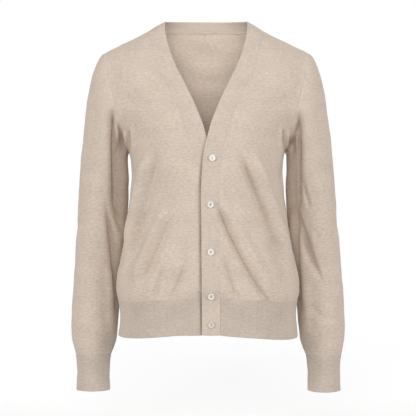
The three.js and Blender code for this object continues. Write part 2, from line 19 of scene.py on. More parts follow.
import bpy
import numpy as np
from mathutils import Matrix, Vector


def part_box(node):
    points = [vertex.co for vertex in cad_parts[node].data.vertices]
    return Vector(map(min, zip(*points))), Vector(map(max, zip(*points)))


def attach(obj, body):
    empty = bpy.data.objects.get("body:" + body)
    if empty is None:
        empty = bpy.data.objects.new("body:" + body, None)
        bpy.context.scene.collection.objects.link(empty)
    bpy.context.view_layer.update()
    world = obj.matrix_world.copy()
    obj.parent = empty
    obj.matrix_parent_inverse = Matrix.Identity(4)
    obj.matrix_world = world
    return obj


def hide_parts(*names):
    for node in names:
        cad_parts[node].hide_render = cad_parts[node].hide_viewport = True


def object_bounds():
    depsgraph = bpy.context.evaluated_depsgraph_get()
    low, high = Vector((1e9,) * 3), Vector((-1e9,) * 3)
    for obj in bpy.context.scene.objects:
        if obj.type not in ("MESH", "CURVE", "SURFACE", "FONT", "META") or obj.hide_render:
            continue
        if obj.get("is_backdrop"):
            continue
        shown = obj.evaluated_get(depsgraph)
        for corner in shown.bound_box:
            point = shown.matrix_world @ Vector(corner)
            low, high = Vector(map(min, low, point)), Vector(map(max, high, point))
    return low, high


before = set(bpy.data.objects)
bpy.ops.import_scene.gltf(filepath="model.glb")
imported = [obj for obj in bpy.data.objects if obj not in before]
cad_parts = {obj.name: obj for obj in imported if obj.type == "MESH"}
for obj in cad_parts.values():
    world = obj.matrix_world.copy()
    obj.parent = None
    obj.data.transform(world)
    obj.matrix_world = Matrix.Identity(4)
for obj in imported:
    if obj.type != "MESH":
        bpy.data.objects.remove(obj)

log = logging.getLogger("cardigan")
MM = 0.001
TURN = 2.0 * math.pi
LINE_SAMPLES = 801
RIB_SAMPLES = 4
RIB_ROW_STEP = 3.4
SEAM_STEPS = (0.45, 0.9, 1.5, 2.3)
WHITE = (1.0, 1.0, 1.0, 1.0)
Array = np.ndarray
Pair = tuple[float, float]
Triple = tuple[float, float, float]
Mesh = tuple[Array, Array, Array]
Socket = bpy.types.NodeSocket


# ---- choices


class Side(IntEnum):
    """The wearer's side of a piece; its value turns x outwards."""

    LEFT = 1
    RIGHT = -1

    @property
    def word(self) -> str:
        """The side as a piece's name has it."""
        return self.name.lower()


class Face(Enum):
    """The way a piece of cloth looks: (axis a fold is read along, axis it looks along, sign)."""

    FRONT = (0, 1, -1)
    BACK = (0, 1, 1)
    TO_LEFT = (1, 0, 1)
    TO_RIGHT = (1, 0, -1)


class Edge(Enum):
    """One edge of a piece's grid."""

    TOP = "top"
    BOTTOM = "bottom"
    START = "start"
    END = "end"
    NECK = "neck"


# ---- numbers and curves


def smooth(value: Array, low: float, high: float) -> Array:
    """Eases from 0 at low to 1 at high: t squared times (3 - 2t)."""
    t = np.clip((np.asarray(value, float) - low) / (high - low), 0.0, 1.0)
    return t * t * (3.0 - 2.0 * t)


def bell(value: Array, width: float) -> Array:
    """Falls from 1 at 0: exp(-(value / width)^2)."""
    return np.exp(-(value / width) ** 2)


def unit(vectors: Array) -> Array:
    """Vectors divided by their lengths."""
    length = np.linalg.norm(vectors, axis=-1, keepdims=True)
    return vectors / np.maximum(length, 1e-12)


def bezier(a: Array, b: Array, c: Array, d: Array, t: Array) -> Array:
    """Cubic Bezier: (1-t)^3 a + 3(1-t)^2 t b + 3(1-t) t^2 c + t^3 d, with t on the points' shape."""
    t = np.asarray(t, float)[..., None]
    u = 1.0 - t
    return u * u * u * a + 3.0 * u * u * t * b + 3.0 * u * t * t * c + t * t * t * d


class Table:
    """Rows of numbers under named columns, read at any place on or between the rows."""

    def __init__(self, columns: str, rows: str) -> None:
        """Reads the columns' names, parted by spaces, and the rows, parted by commas."""
        self.names = columns.split()
        self.values = np.array([row.split() for row in rows.split(",")], float)

    def pick(self, columns: str) -> Array:
        """The named columns as an array of (rows, columns)."""
        return self.values[:, [self.names.index(name) for name in columns.split()]]

    def along(self, columns: str, place: Array, last: Optional[int] = None) -> Array:
        """Hermite curve at places counted in rows, up to a last row, sloping as the rows beside do."""
        values = self.pick(columns)[: None if last is None else last + 1]
        slopes = np.gradient(values, axis=0)
        i = np.clip(np.floor(place).astype(int), 0, len(values) - 2)
        t = (np.asarray(place, float) - i)[..., None]
        return (values[i] + (values[i + 1] - values[i]) * smooth(t, 0.0, 1.0)
                + slopes[i] * t * (1.0 - t) ** 2 - slopes[i + 1] * t * t * (1.0 - t))

    def keyed(self, columns: str, place: Array) -> Array:
        """Hermite curve at places in the first column, never past the values on either side.

        The slope at a row is the weighted harmonic mean of those beside it, or 0 at a turn.
        """
        key, values = self.values[:, 0], self.pick(columns)
        gap = np.diff(key)[:, None]
        rise = np.diff(values, axis=0) / gap
        before, after = rise[:-1], rise[1:]
        one, two = 2.0 * gap[1:] + gap[:-1], gap[1:] + 2.0 * gap[:-1]
        same = before * after > 0
        mean = (one + two) / (one / np.where(same, before, 1.0) + two / np.where(same, after, 1.0))
        slopes = np.zeros_like(values)
        slopes[1:-1] = np.where(same, mean, 0.0)
        place = np.clip(np.asarray(place, float), key[0], key[-1])
        i = np.clip(np.searchsorted(key, place, side="right") - 1, 0, len(key) - 2)
        t = (place - key[i])[..., None] / gap[i]
        return (values[i] + (values[i + 1] - values[i]) * smooth(t, 0.0, 1.0)
                + gap[i] * (slopes[i] * t * (1.0 - t) ** 2 - slopes[i + 1] * t * t * (1.0 - t)))


def waves(points: Array, length: float, seed: int) -> Array:
    """Soft uneven waves with a standard deviation of 1: plane waves of about one length, summed."""
    count = 22
    rng = np.random.default_rng(seed)
    directions = unit(rng.normal(size=(count, 3)))
    numbers = TURN / (length * rng.uniform(0.7, 1.5, (count, 1)))
    phases = rng.uniform(0.0, TURN, count)
    return np.sin(points @ (directions * numbers).T + phases).sum(-1) * math.sqrt(2.0 / count)


def places(line: Callable[[Array], Array], low: float, high: float, step: float,
           fine: Sequence[float] = ()) -> Array:
    """Parameters at even lengths along a line, with the fine distances in their place at both ends."""
    share = np.linspace(low, high, LINE_SAMPLES)
    run = np.concatenate([[0.0], np.cumsum(np.linalg.norm(np.diff(line(share), axis=0), axis=1))])
    total = run[-1]
    even = np.linspace(0.0, total, max(2, int(round(total / step)) + 1))
    extra = np.array(fine, float)
    if len(extra):
        reach = extra.max() + 0.45 * step
        even = even[(even > reach) & (even < total - reach)]
    wanted = np.concatenate([[0.0], extra, even, total - extra[::-1], [total]])
    return np.interp(wanted, run, share)


# ---- tables of the cut

UNDERARM = 9
RIB_JOINT = 18
HEM = 21
BACK_NECK = 5
CUFF_JOINT = 9
CUFF_END = 12
RING_STEPS = 24
BAND_CROWN = 0.8

BAND_ROWS = Table("edge_x edge_y edge_z seam_x seam_y seam_z", """
    76 0 -0.5 101.5 1 -15.5, 76.6 -16 -9.8 101.5 -16 -22, 73.7 -33 -31.5 99.5 -32 -41.5,
    65.9 -48 -60.7 92 -50 -70, 54.4 -62 -89.5 80.8 -64 -102, 40.4 -76 -118 66 -77 -132.5,
    24.3 -90 -152 51 -90.5 -166, 10.1 -102 -187.7 38.8 -101.5 -198.5, 0 -110 -222 29.6 -109.5 -230.5,
    -8.5 -114.5 -252 22.3 -114.5 -257, -13.2 -117 -281 18 -117 -283, -15.5 -118 -312 16 -118 -312,
    -15.5 -117.5 -346 16 -117.5 -346, -15.5 -116.5 -382 16 -116.5 -382, -15.5 -116.5 -418 16 -116.5 -418,
    -15.5 -118 -449 16 -118 -449, -15.5 -119.5 -473 16 -119.5 -473, -15.5 -118.5 -489 16 -118.5 -489,
    -15.5 -114 -502 16 -114 -502, -15.5 -111 -520 16 -111 -520, -15.5 -111 -544 16 -111 -544,
    -15.5 -113 -570 16 -113 -570""")

CLOSURE_ROWS = Table("row centre lap", """
    0 0 0, 6 0 0, 7 0 0.5, 8 0.3 1, 9 2.75 1, 10 4.785 1, 11 5.5 1, 21 5.5 1""")

BACK_ROWS = Table("seam_x seam_y seam_z", """
    101.5 1 -15.5, 97 24 -16, 84 46 -16, 60 66 -16, 30 77 -16, 0 80 -16, 0 89 -45, 0 97 -80, 0 103 -120,
    0 106 -165, 0 106 -207, 0 103 -248, 0 98.5 -292, 0 94 -345, 0 92 -402, 0 95 -447, 0 100 -480,
    0 100.5 -500, 0 96 -514, 0 92.5 -532, 0 92 -556, 0 94 -582""")

BACK_NECK_EDGE = Table("edge_x edge_y edge_z", """
    76 0 -0.5, 73.5 19 1.5, 64 37 3, 46 50 4, 23 58.5 4.8, 0 61 5""")

ARMHOLE_ROWS = Table("front_x front_y front_z back_x back_y back_z", """
    190 11 -59 190 11 -59, 190 -7 -65 190.5 30 -66, 187 -22 -79 187 48 -81, 181 -35 -103 182 62 -103,
    173 -42 -132 176 71 -128, 164.5 -42 -162 169 74 -155, 156.5 -35 -191 161.5 70 -183,
    150 -20 -217 153.5 58 -209, 145.5 -2 -234 147.5 38 -230, 143.5 14 -241 143.5 14 -241""")

SIDE_ROWS = Table("x y z", """
    143.5 14 -241, 139.2 13 -254, 138.2 11 -285, 141 9 -325, 147 7 -370, 155 5 -415, 163 3 -452,
    168.8 1.5 -480, 168.6 1 -499, 164.5 1 -514, 161.8 1 -532, 161.2 1 -556, 163.5 1 -582""")

FRONT_FULLNESS = Table("row in_x in_y in_z out_x out_y out_z swell", """
    0 0.33 0.33 0.33 0.33 0.33 0.33 0, 1 0.35 0.25 0.33 0.33 0.36 0.33 0,
    2 0.38 0.15 0.33 0.32 0.4 0.33 0, 4 0.45 0 0.33 0.3 0.45 0.33 0, 6 0.5 0 0.33 0.27 0.5 0.33 0,
    7 0.53 0 0.33 0.22 0.5 0.33 0, 8 0.57 0 0.33 0.12 0.55 0.33 0, 9 0.6 0 0.33 0 0.6 0.33 0,
    16 0.62 0 0.33 0 0.6 0.33 0, 18 0.62 0 0.8 0 0.6 -0.1 0, 21 0.62 0 1 0 0.6 -0.4 0""")

BACK_FULLNESS = Table("row in_x in_y in_z out_x out_y out_z swell", """
    0 0.33 0.33 0.33 0.33 0.33 0.33 0, 1 0.35 0.33 0.33 0.33 0.33 0.33 2, 2 0.38 0.3 0.3 0.32 0.33 0.36 5,
    3 0.4 0.2 0.22 0.31 0.33 0.4 9, 5 0.46 0 0 0.3 0.33 0.45 16, 6 0.48 0 0 0.28 0.4 0.45 16,
    7 0.5 0 0 0.22 0.5 0.45 12, 8 0.55 0 0 0.1 0.6 0.45 5, 9 0.6 0 0 0 0.62 0.45 0,
    13 0.6 0 0 0 0.5 0.4 0, 15 0.6 0 0 0 0.32 0.4 0, 17 0.6 0 0 0 0.32 0.4 0, 18 0.6 0 0 0 0.45 0.4 0,
    21 0.6 0 0 0 0.5 0.4 0""")

CAP_ROWS = Table("turn outwards back up reach", """
    0 0.86 0 -0.5 0.13, 0.12 0.84 -0.05 -0.54 0.16, 0.25 0.85 0 -0.5 0.2, 0.33 0.88 -0.1 -0.46 0.22,
    0.39 0.88 -0.15 -0.45 0.22, 0.445 0.94 -0.1 -0.3 0.2, 0.5 1 0 0 0.16, 0.555 0.96 0.1 -0.2 0.2,
    0.61 0.88 0.1 -0.45 0.22, 0.67 0.86 0.08 -0.5 0.22, 0.78 0.86 0 -0.5 0.2, 0.9 0.85 0.03 -0.53 0.16,
    1 0.86 0 -0.5 0.13""")

SLEEVE_ROWS = Table("z inner outer middle depth", """
    -300 147.5 237 28 53, -345 149.5 240.6 32 52, -392 152.5 244 36 51, -440 157.5 247.6 39 50,
    -488 163.5 251.2 41 49, -530 167.5 253.8 40 48, -562 169.5 254.6 38 47, -586 172.5 253.2 36 45,
    -604 178 250.2 35 41.5, -618 184 247 34 37.5, -630 185.8 245.2 34 36, -655 186.4 244.6 33 35,
    -683 185.6 245.6 32 36""")


# ---- lines of the garment


@dataclass(frozen=True)
class Lines:
    """The lines that the pieces share: closure, neck, armhole and side seam."""

    lap_step: float = 3.2
    sway: float = 5.0
    full_length: float = 685.0
    cap_landing: float = 0.42
    cuff_dip: float = 3.0
    take_in: float = 2.4
    take_in_height: float = -474.0
    bring_out: float = 3.0
    bring_out_height: float = -520.0
    ride_right: float = 4.6
    ride_left: float = 2.2

    def front(self, which: str, row: Array, side: Array) -> Array:
        """The band's "edge" or "seam" on a side at rows of the table, shifted by the closure.

        y moves half the lap step forwards on the wearer's left, on top, and back on the right.
        """
        xyz = BAND_ROWS.along(f"{which}_x {which}_y {which}_z", row)
        centre, lap = np.moveaxis(CLOSURE_ROWS.keyed("centre lap", row), -1, 0)
        return np.stack([side * xyz[..., 0] + centre,
                         xyz[..., 1] - side * self.lap_step / 2.0 * lap,
                         xyz[..., 2]], axis=-1)

    def back_seam(self, row: Array, side: Array) -> Array:
        """Seam of the back neckband, then from the middle of the neck down the centre back."""
        x = BACK_ROWS.along("seam_x", np.minimum(row, BACK_NECK), last=BACK_NECK)[..., 0]
        yz = BACK_ROWS.along("seam_y seam_z", row)
        return np.stack([side * np.where(row >= BACK_NECK, 0.0, x), yz[..., 0], yz[..., 1]], -1)

    def side_line(self, face: str, row: Array, side: Array) -> Array:
        """The armhole's front or back edge down to the underarm, then the side seam."""
        hole = ARMHOLE_ROWS.along(f"{face}_x {face}_y {face}_z", np.minimum(row, UNDERARM))
        seam = SIDE_ROWS.along("x y z", np.maximum(row - UNDERARM, 0.0))
        xyz = np.where((row <= UNDERARM)[..., None], hole, seam)
        return np.stack([side * xyz[..., 0], xyz[..., 1], xyz[..., 2]], axis=-1)

    def armhole(self, turn: Array, side: int) -> Array:
        """The armhole at a turn: 0 the shoulder tip, over the front, 0.5 the underarm, 1 the tip."""
        half = RING_STEPS * np.where(turn <= 0.5, turn, 1.0 - turn)
        row = np.where(half <= 7, half * BACK_NECK / 7.0, BACK_NECK + (half - 7.0) * 0.8)
        ahead = self.side_line("front", row, side)
        behind = self.side_line("back", row, side)
        return np.where((turn <= 0.5)[..., None], ahead, behind)

    def sleeve_section(self, place: Array, turn: Array, side: int) -> Array:
        """A level ellipse of the sleeve: turn 0 outside, 0.25 front, 0.5 inside."""
        z, inner, outer, middle, depth = np.moveaxis(
            SLEEVE_ROWS.along("z inner outer middle depth", place), -1, 0)
        angle = TURN * turn
        dip = self.cuff_dip * np.sin(angle) * smooth(place, CUFF_JOINT - 1.0, CUFF_END)
        x = side * ((inner + outer) / 2.0 + (outer - inner) / 2.0 * np.cos(angle))
        return np.stack([x, middle - depth * np.sin(angle), z - dip], axis=-1)

    def hang(self, points: Array) -> Array:
        """Leans the garment to one side by height, and settles its fronts over the hem rib."""
        leaned = points.copy()
        x, y, z = np.moveaxis(points, -1, 0)
        leaned[..., 0] += self.sway * -z / self.full_length
        moved = (self.take_in * bell(z - self.take_in_height, 20.0)
                 - self.bring_out * bell(z - self.bring_out_height, 24.0))
        leaned[..., 1] += moved * smooth(np.abs(x), 24.0, 52.0) * smooth(-y, 40.0, 80.0)
        ride = self.ride_right * smooth(-x, 4.0, 62.0) + self.ride_left * smooth(x, 20.0, 100.0)
        leaned[..., 2] += ride * smooth(-z, 516.0, 576.0) * smooth(-y, -50.0, 20.0)
        return leaned


LINES = Lines()


# ---- skins


class Skin(ABC):
    """A middle surface: a point for every place down and across."""

    down_limits: Pair = (0.0, HEM)
    across_limits: Pair = (0.0, 1.0)
    outward: int = 1
    round_tube: bool = False
    halves: bool = False
    step_down: float = 0.012
    step_over: float = 0.006

    @abstractmethod
    def point(self, down: Array, across: Array) -> Array:
        """Points at places down and across, of one shape, as an array with a last axis of 3."""

    def normal(self, down: Array, across: Array) -> Array:
        """Outward unit normals: the cross product of the two central differences."""
        low, high = self.down_limits
        along = (self.point(np.minimum(down + self.step_down, high), across)
                 - self.point(np.maximum(down - self.step_down, low), across))
        left, right = self.beside(down, across)
        over = self.point(down, right) - self.point(down, left)
        return self.outward * unit(np.cross(along, over))

    def beside(self, down: Array, across: Array) -> tuple[Array, Array]:
        """Places a step before and after across, kept on the skin."""
        low, high = self.across_limits
        return np.maximum(across - self.step_over, low), np.minimum(across + self.step_over, high)

    def rows(self, across: float, low: float, high: float, step: float,
             fine: Sequence[float] = SEAM_STEPS) -> Array:
        """Places from low to high down the skin, at steps of length along one line down it."""
        return places(lambda down: self.point(down, np.full_like(down, across)),
                      low, high, step, fine)

    def columns(self, down: float, low: float, high: float, step: float,
                fine: Sequence[float] = SEAM_STEPS) -> Array:
        """Places from low to high across the skin, at steps of length along one line over it."""
        return places(lambda across: self.point(np.full_like(across, down), across),
                      low, high, step, fine)

    def rib_columns(self, down: float, low: float, high: float, pitch: float) -> Array:
        """Even places across the skin, with a whole number of ribs of four steps each."""
        share = np.linspace(low, high, LINE_SAMPLES)
        line = self.point(np.full_like(share, down), share)
        run = np.linalg.norm(np.diff(line, axis=0), axis=1).sum()
        ribs = max(1, round(run / pitch))
        return self.columns(down, low, high, run / (ribs * RIB_SAMPLES), ())


class SidedSkin(Skin):
    """A skin on one side of the wearer, with its mirror image on the other."""

    turned: int = -1

    def __init__(self, side: Side) -> None:
        """Keeps the side, which turns the skin's outer face round."""
        self.side = side
        self.outward = self.turned * side


def panel_point(inner: Array, outer: Array, fullness: Table, row: Array, t: Array) -> Array:
    """A row across a panel: a Bezier curve that leaves its ends by the table's shares of the span."""
    span = outer - inner
    shares = fullness.keyed("in_x in_y in_z out_x out_y out_z swell", row)
    leave = inner + shares[..., 0:3] * span
    arrive = outer - shares[..., 3:6] * span
    arrive[..., 1] += shares[..., 6]
    return bezier(inner, leave, arrive, outer, t)


def crowned(seam: Array, edge: Array, across: Array, way: Sequence[float]) -> Array:
    """Straight over a band from seam to edge, plus its crown times 4t(1 - t) the given way."""
    lift = (BAND_CROWN * 4.0 * across * (1.0 - across))[..., None] * np.array(way)
    return seam + (edge - seam) * across[..., None] + lift


class FrontSkin(SidedSkin):
    """One front with its hem: across runs from the band's seam to the armhole or side seam."""

    turned = 1

    def point(self, down: Array, across: Array) -> Array:
        """A row of the front's panel curve."""
        inner = LINES.front("seam", down, self.side)
        outer = LINES.side_line("front", down, self.side)
        return panel_point(inner, outer, FRONT_FULLNESS, down, across)


class BackSkin(Skin):
    """The back with its hem: across runs from -1 at the wearer's right to 1 at the left.

    Its halves are apart along the seam of the neckband, and meet at across 0 below it.
    """

    across_limits = (-1.0, 1.0)
    outward = -1
    halves = True

    def beside(self, down: Array, across: Array) -> tuple[Array, Array]:
        """Places beside across, kept on their own half above the middle of the neck."""
        left, right = super().beside(down, across)
        apart, low_half = down < BACK_NECK, np.signbit(across)
        left = np.where(apart & ~low_half, np.abs(np.maximum(left, 0.0)), left)
        right = np.where(apart & low_half, -np.abs(np.minimum(right, 0.0)), right)
        return left, right

    def point(self, down: Array, across: Array) -> Array:
        """A row of the back's panel curve, mirrored at the centre back."""
        side = np.where(np.signbit(across), -1.0, 1.0)
        inner = LINES.back_seam(down, side)
        outer = LINES.side_line("back", down, side)
        return panel_point(inner, outer, BACK_FULLNESS, down, np.abs(across))


class BandSkin(SidedSkin):
    """A front band from the shoulder seam to the hem; across runs from its seam to its edge."""

    def point(self, down: Array, across: Array) -> Array:
        """Crowned forwards."""
        seam, edge = (LINES.front(which, down, self.side) for which in ("seam", "edge"))
        return crowned(seam, edge, across, (0.0, -1.0, 0.0))


class NeckbandSkin(Skin):
    """The band round the back of the neck: down runs from the right to the left shoulder seam."""

    down_limits = (-BACK_NECK, BACK_NECK)
    outward = -1

    def point(self, down: Array, across: Array) -> Array:
        """Crowned up and back."""
        side = np.where(down < 0.0, -1.0, 1.0)
        row = BACK_NECK - np.abs(down)
        seam = LINES.back_seam(np.minimum(row, BACK_NECK - 1e-9), side)
        edge = BACK_NECK_EDGE.along("edge_x edge_y edge_z", row)
        edge[..., 0] *= side
        return crowned(seam, edge, across, (0.0, 0.7, 0.7))


class SleeveSkin(SidedSkin):
    """A sleeve with its cuff: down is 0 to 1 over the cap, then 1 plus the row of the tube."""

    down_limits = (0.0, 1.0 + CUFF_END)
    across_limits = (-1.0, 2.0)
    round_tube = True

    def cap(self, share: Array, turn: Array) -> Array:
        """Cubic Bezier from the armhole to the upper arm, leaving as the table of the cap says."""
        start = LINES.armhole(turn, self.side)
        end = LINES.sleeve_section(np.zeros_like(turn), turn, self.side)
        length = np.linalg.norm(end - start, axis=-1, keepdims=True)
        way = CAP_ROWS.keyed("outwards back up reach", turn)
        outwards = np.array([self.side, 1.0, 1.0])
        leave = unit(way[..., 0:3] * outwards) * way[..., 3:4] * length + start
        below = LINES.sleeve_section(np.full_like(turn, 0.25), turn, self.side)
        arrive = end + unit(end - below) * LINES.cap_landing * length
        return bezier(start, leave, arrive, end, share)

    def point(self, down: Array, across: Array) -> Array:
        """The cap above the upper arm and the tube of ellipses below it."""
        turn = np.mod(across, 1.0)
        cap = self.cap(np.clip(down, 0.0, 1.0), turn)
        tube = LINES.sleeve_section(np.maximum(down - 1.0, 0.0), turn, self.side)
        return np.where((down < 1.0)[..., None], cap, tube)


# ---- folds


@dataclass(frozen=True)
class Fold:
    """A soft trough (depth above 0) or ridge (below 0) along a bent line on one face of the cloth.

    The three points are (across, height), the control points of a quadratic Bezier curve; across
    is x, or y on cloth that looks sideways. lean widens one side, crest raises a shoulder on both
    and fade is the share of the length over which each end fades.
    """

    face: Face
    start: Pair
    mid: Pair
    end: Pair
    depth: float
    width: float
    lean: float = 0.0
    crest: float = 0.3
    fade: float = 0.3

    def line(self) -> Array:
        """Twenty-five points of the curve (1-t)^2 start + 2(1-t) t mid + t^2 end."""
        t = np.linspace(0.0, 1.0, 25)[:, None]
        a, b, c = (np.array(point, float) for point in (self.start, self.mid, self.end))
        return (1.0 - t) ** 2 * a + 2.0 * (1.0 - t) * t * b + t * t * c

    def height(self, points: Array, normals: Array) -> Array:
        """How far the fold moves points outwards: a bell over the distance, less that of the crest."""
        read, look, sign = self.face.value
        spots = points[:, [read, 2]]
        line = self.line()
        margin = 3.6 * self.width * (1.0 + abs(self.lean))
        near = np.all((spots > line.min(0) - margin) & (spots < line.max(0) + margin), axis=1)
        near &= normals[:, look] * sign > 0.0
        result = np.zeros(len(points))
        if not near.any():
            return result
        first, step = line[:-1], np.diff(line, axis=0)
        offset = spots[near][:, None, :] - first
        share = np.clip((offset * step).sum(-1) / (step * step).sum(-1), 0.0, 1.0)
        away = offset - share[..., None] * step
        distance = np.linalg.norm(away, axis=-1)
        best = distance.argmin(axis=1)
        rows = np.arange(len(best))
        cross = step[best, 0] * away[rows, best, 1] - step[best, 1] * away[rows, best, 0]
        d = distance[rows, best] / (self.width * (1.0 + self.lean * np.sign(cross)))
        place = (best + share[rows, best]) / len(step)
        profile = bell(d, 1.0) - self.crest * bell(d - 2.1, 1.1)
        facing = smooth(normals[near][:, look] * sign, 0.05, 0.5)
        ends = smooth(place, 0.0, self.fade) * smooth(1.0 - place, 0.0, self.fade)
        result[near] = -self.depth * profile * ends * facing
        return result


def folds(face: Face, rows: str) -> Iterator[Fold]:
    """The folds of one face, from rows parted by commas: the points, depth, width and the rest."""
    for row in rows.split(","):
        number = [float(word) for word in row.split()]
        yield Fold(face, tuple(number[0:2]), tuple(number[2:4]), tuple(number[4:6]), *number[6:])


BODY_FOLDS = (
    # wearer's left front: the long drape from the closure to the hip, and its companions
    *folds(Face.FRONT, """
        14 -330 46 -424 122 -536 10.5 5.8 0.1 0.1 0.2, 44 -350 72 -416 124 -500 -4.4 8 0 0,
        24 -418 36 -466 56 -520 5.4 4.6 0 0.2 0.3, 56 -236 92 -330 148 -472 12.5 6.4 0 0 0.25,
        82 -236 111 -330 156 -456 -11.5 8 0 0 0.25, 28 -272 38 -320 57 -370 1.8 6.5,
        92 -396 112 -440 130 -478 -2 7"""),
    # wearer's right front
    *folds(Face.FRONT, """
        -88 -240 -103 -320 -148 -448 9.5 6.8 0 0 0.25, -103 -232 -122 -320 -158 -448 -14 7.4 0 0 0.25,
        -70 -334 -103 -392 -143 -500 -8.5 7 0 0 0.25, -60 -350 -92 -420 -130 -502 8.6 7.4 0 0,
        -104 -332 -122 -392 -148 -456 8.5 6.4 0 0 0.25, -78 -446 -92 -480 -105 -516 4.6 4.4 0 0.2,
        -36 -428 -51 -478 -76 -522 5 4.6 0 0.2, -142 -438 -149 -456 -151 -470 2.6 4.4,
        -24 -250 -34 -290 -44 -340 1.2 8"""),
    # the puckers in front of the underarms
    *folds(Face.FRONT, """
        141 -198 135 -226 144 -248 9 3.2 0 0.5 0.25, -144 -198 -135 -228 -145 -250 9 3.2 0 0.5 0.25"""),
    # back: from the shoulder blades to the waist, and at the small of the back
    *folds(Face.BACK, """
        -100 -150 -84 -250 -58 -360 5 12 0.2, 94 -170 88 -270 66 -380 5.4 11 -0.2,
        -132 -270 -96 -350 -48 -418 5.2 8.5 0.2, 134 -280 104 -366 58 -440 4.6 8.5 -0.2,
        -146 -390 -112 -440 -70 -486 5.2 7.5, 150 -404 120 -450 84 -494 5 7.5,
        -30 -392 -8 -440 8 -488 3 8, 38 -430 30 -462 34 -496 2.6 6, -60 -96 0 -110 58 -98 1.4 11,
        -150 -200 -128 -232 -110 -270 3.4 7, 152 -204 132 -240 112 -282 3.8 7"""),
    # below the armholes, on the sides of the body
    *folds(Face.TO_LEFT, """
        -40 -270 -10 -330 20 -400 4 8, 60 -260 40 -340 6 -420 3.6 8, -10 -430 0 -466 4 -500 3 7"""),
    *folds(Face.TO_RIGHT, """
        -44 -276 -16 -330 14 -396 3.6 8, 56 -256 42 -330 10 -430 4 8, 2 -436 8 -470 6 -500 3 7"""),
)

SLEEVE_FOLDS = (
    # wearer's right sleeve, front
    *folds(Face.FRONT, """
        -173 -156 -165 -240 -166 -368 18 6.8 -0.25 0 0.2, -158 -196 -156 -290 -159 -388 14 8.6 0 0.1 0.25,
        -184 -430 -177 -510 -179 -604 -5 8 0 0 0.3, -163 -186 -154 -214 -145 -246 9 3.6 0 0.2 0.25,
        -190 -326 -165 -420 -174 -584 14 6.4 0.2 0 0.34, -172 -352 -162 -372 -156 -392 4 5,
        -190 -400 -212 -440 -228 -500 1.4 11, -178 -530 -200 -556 -230 -566 1.2 8"""),
    # wearer's left sleeve, front
    *folds(Face.FRONT, """
        169 -164 161 -250 165 -356 18 6.6 0.25 0 0.2, 153 -198 152 -290 156 -366 12 8.4 0 0.1 0.25,
        186 -450 181 -520 184 -604 -5 8 0 0 0.3, 164 -188 157 -216 146 -246 9 3.6 0 0.2 0.25,
        160 -334 162 -410 174 -566 10 5.2, 163 -326 174 -404 220 -496 9.6 6.2 -0.35 0 0.34,
        176 -290 180 -316 190 -350 2.8 3.2, 190 -384 193 -402 200 -420 -2.4 4.4 0 0.4,
        188 -520 208 -548 234 -560 1.3 8, 206 -430 220 -466 232 -512 1.3 10"""),
    # backs of the sleeves, above and below the elbow
    *folds(Face.BACK, """
        -186 -190 -178 -270 -186 -360 5.6 9, -168 -330 -196 -372 -230 -392 5 8,
        -176 -400 -204 -424 -234 -430 4.2 7, -180 -480 -206 -520 -236 -540 2.4 8,
        184 -200 180 -280 188 -352 5.2 9, 168 -344 198 -380 232 -402 5 8, 178 -410 206 -438 236 -444 4 7,
        182 -500 208 -532 238 -548 2.4 8"""),
    # outer and inner sides of the sleeves
    *folds(Face.TO_LEFT, """
        4 -300 30 -390 66 -430 2 10"""),
    *folds(Face.TO_RIGHT, """
        4 -310 32 -396 68 -440 2 10"""),
)


# ---- finishes


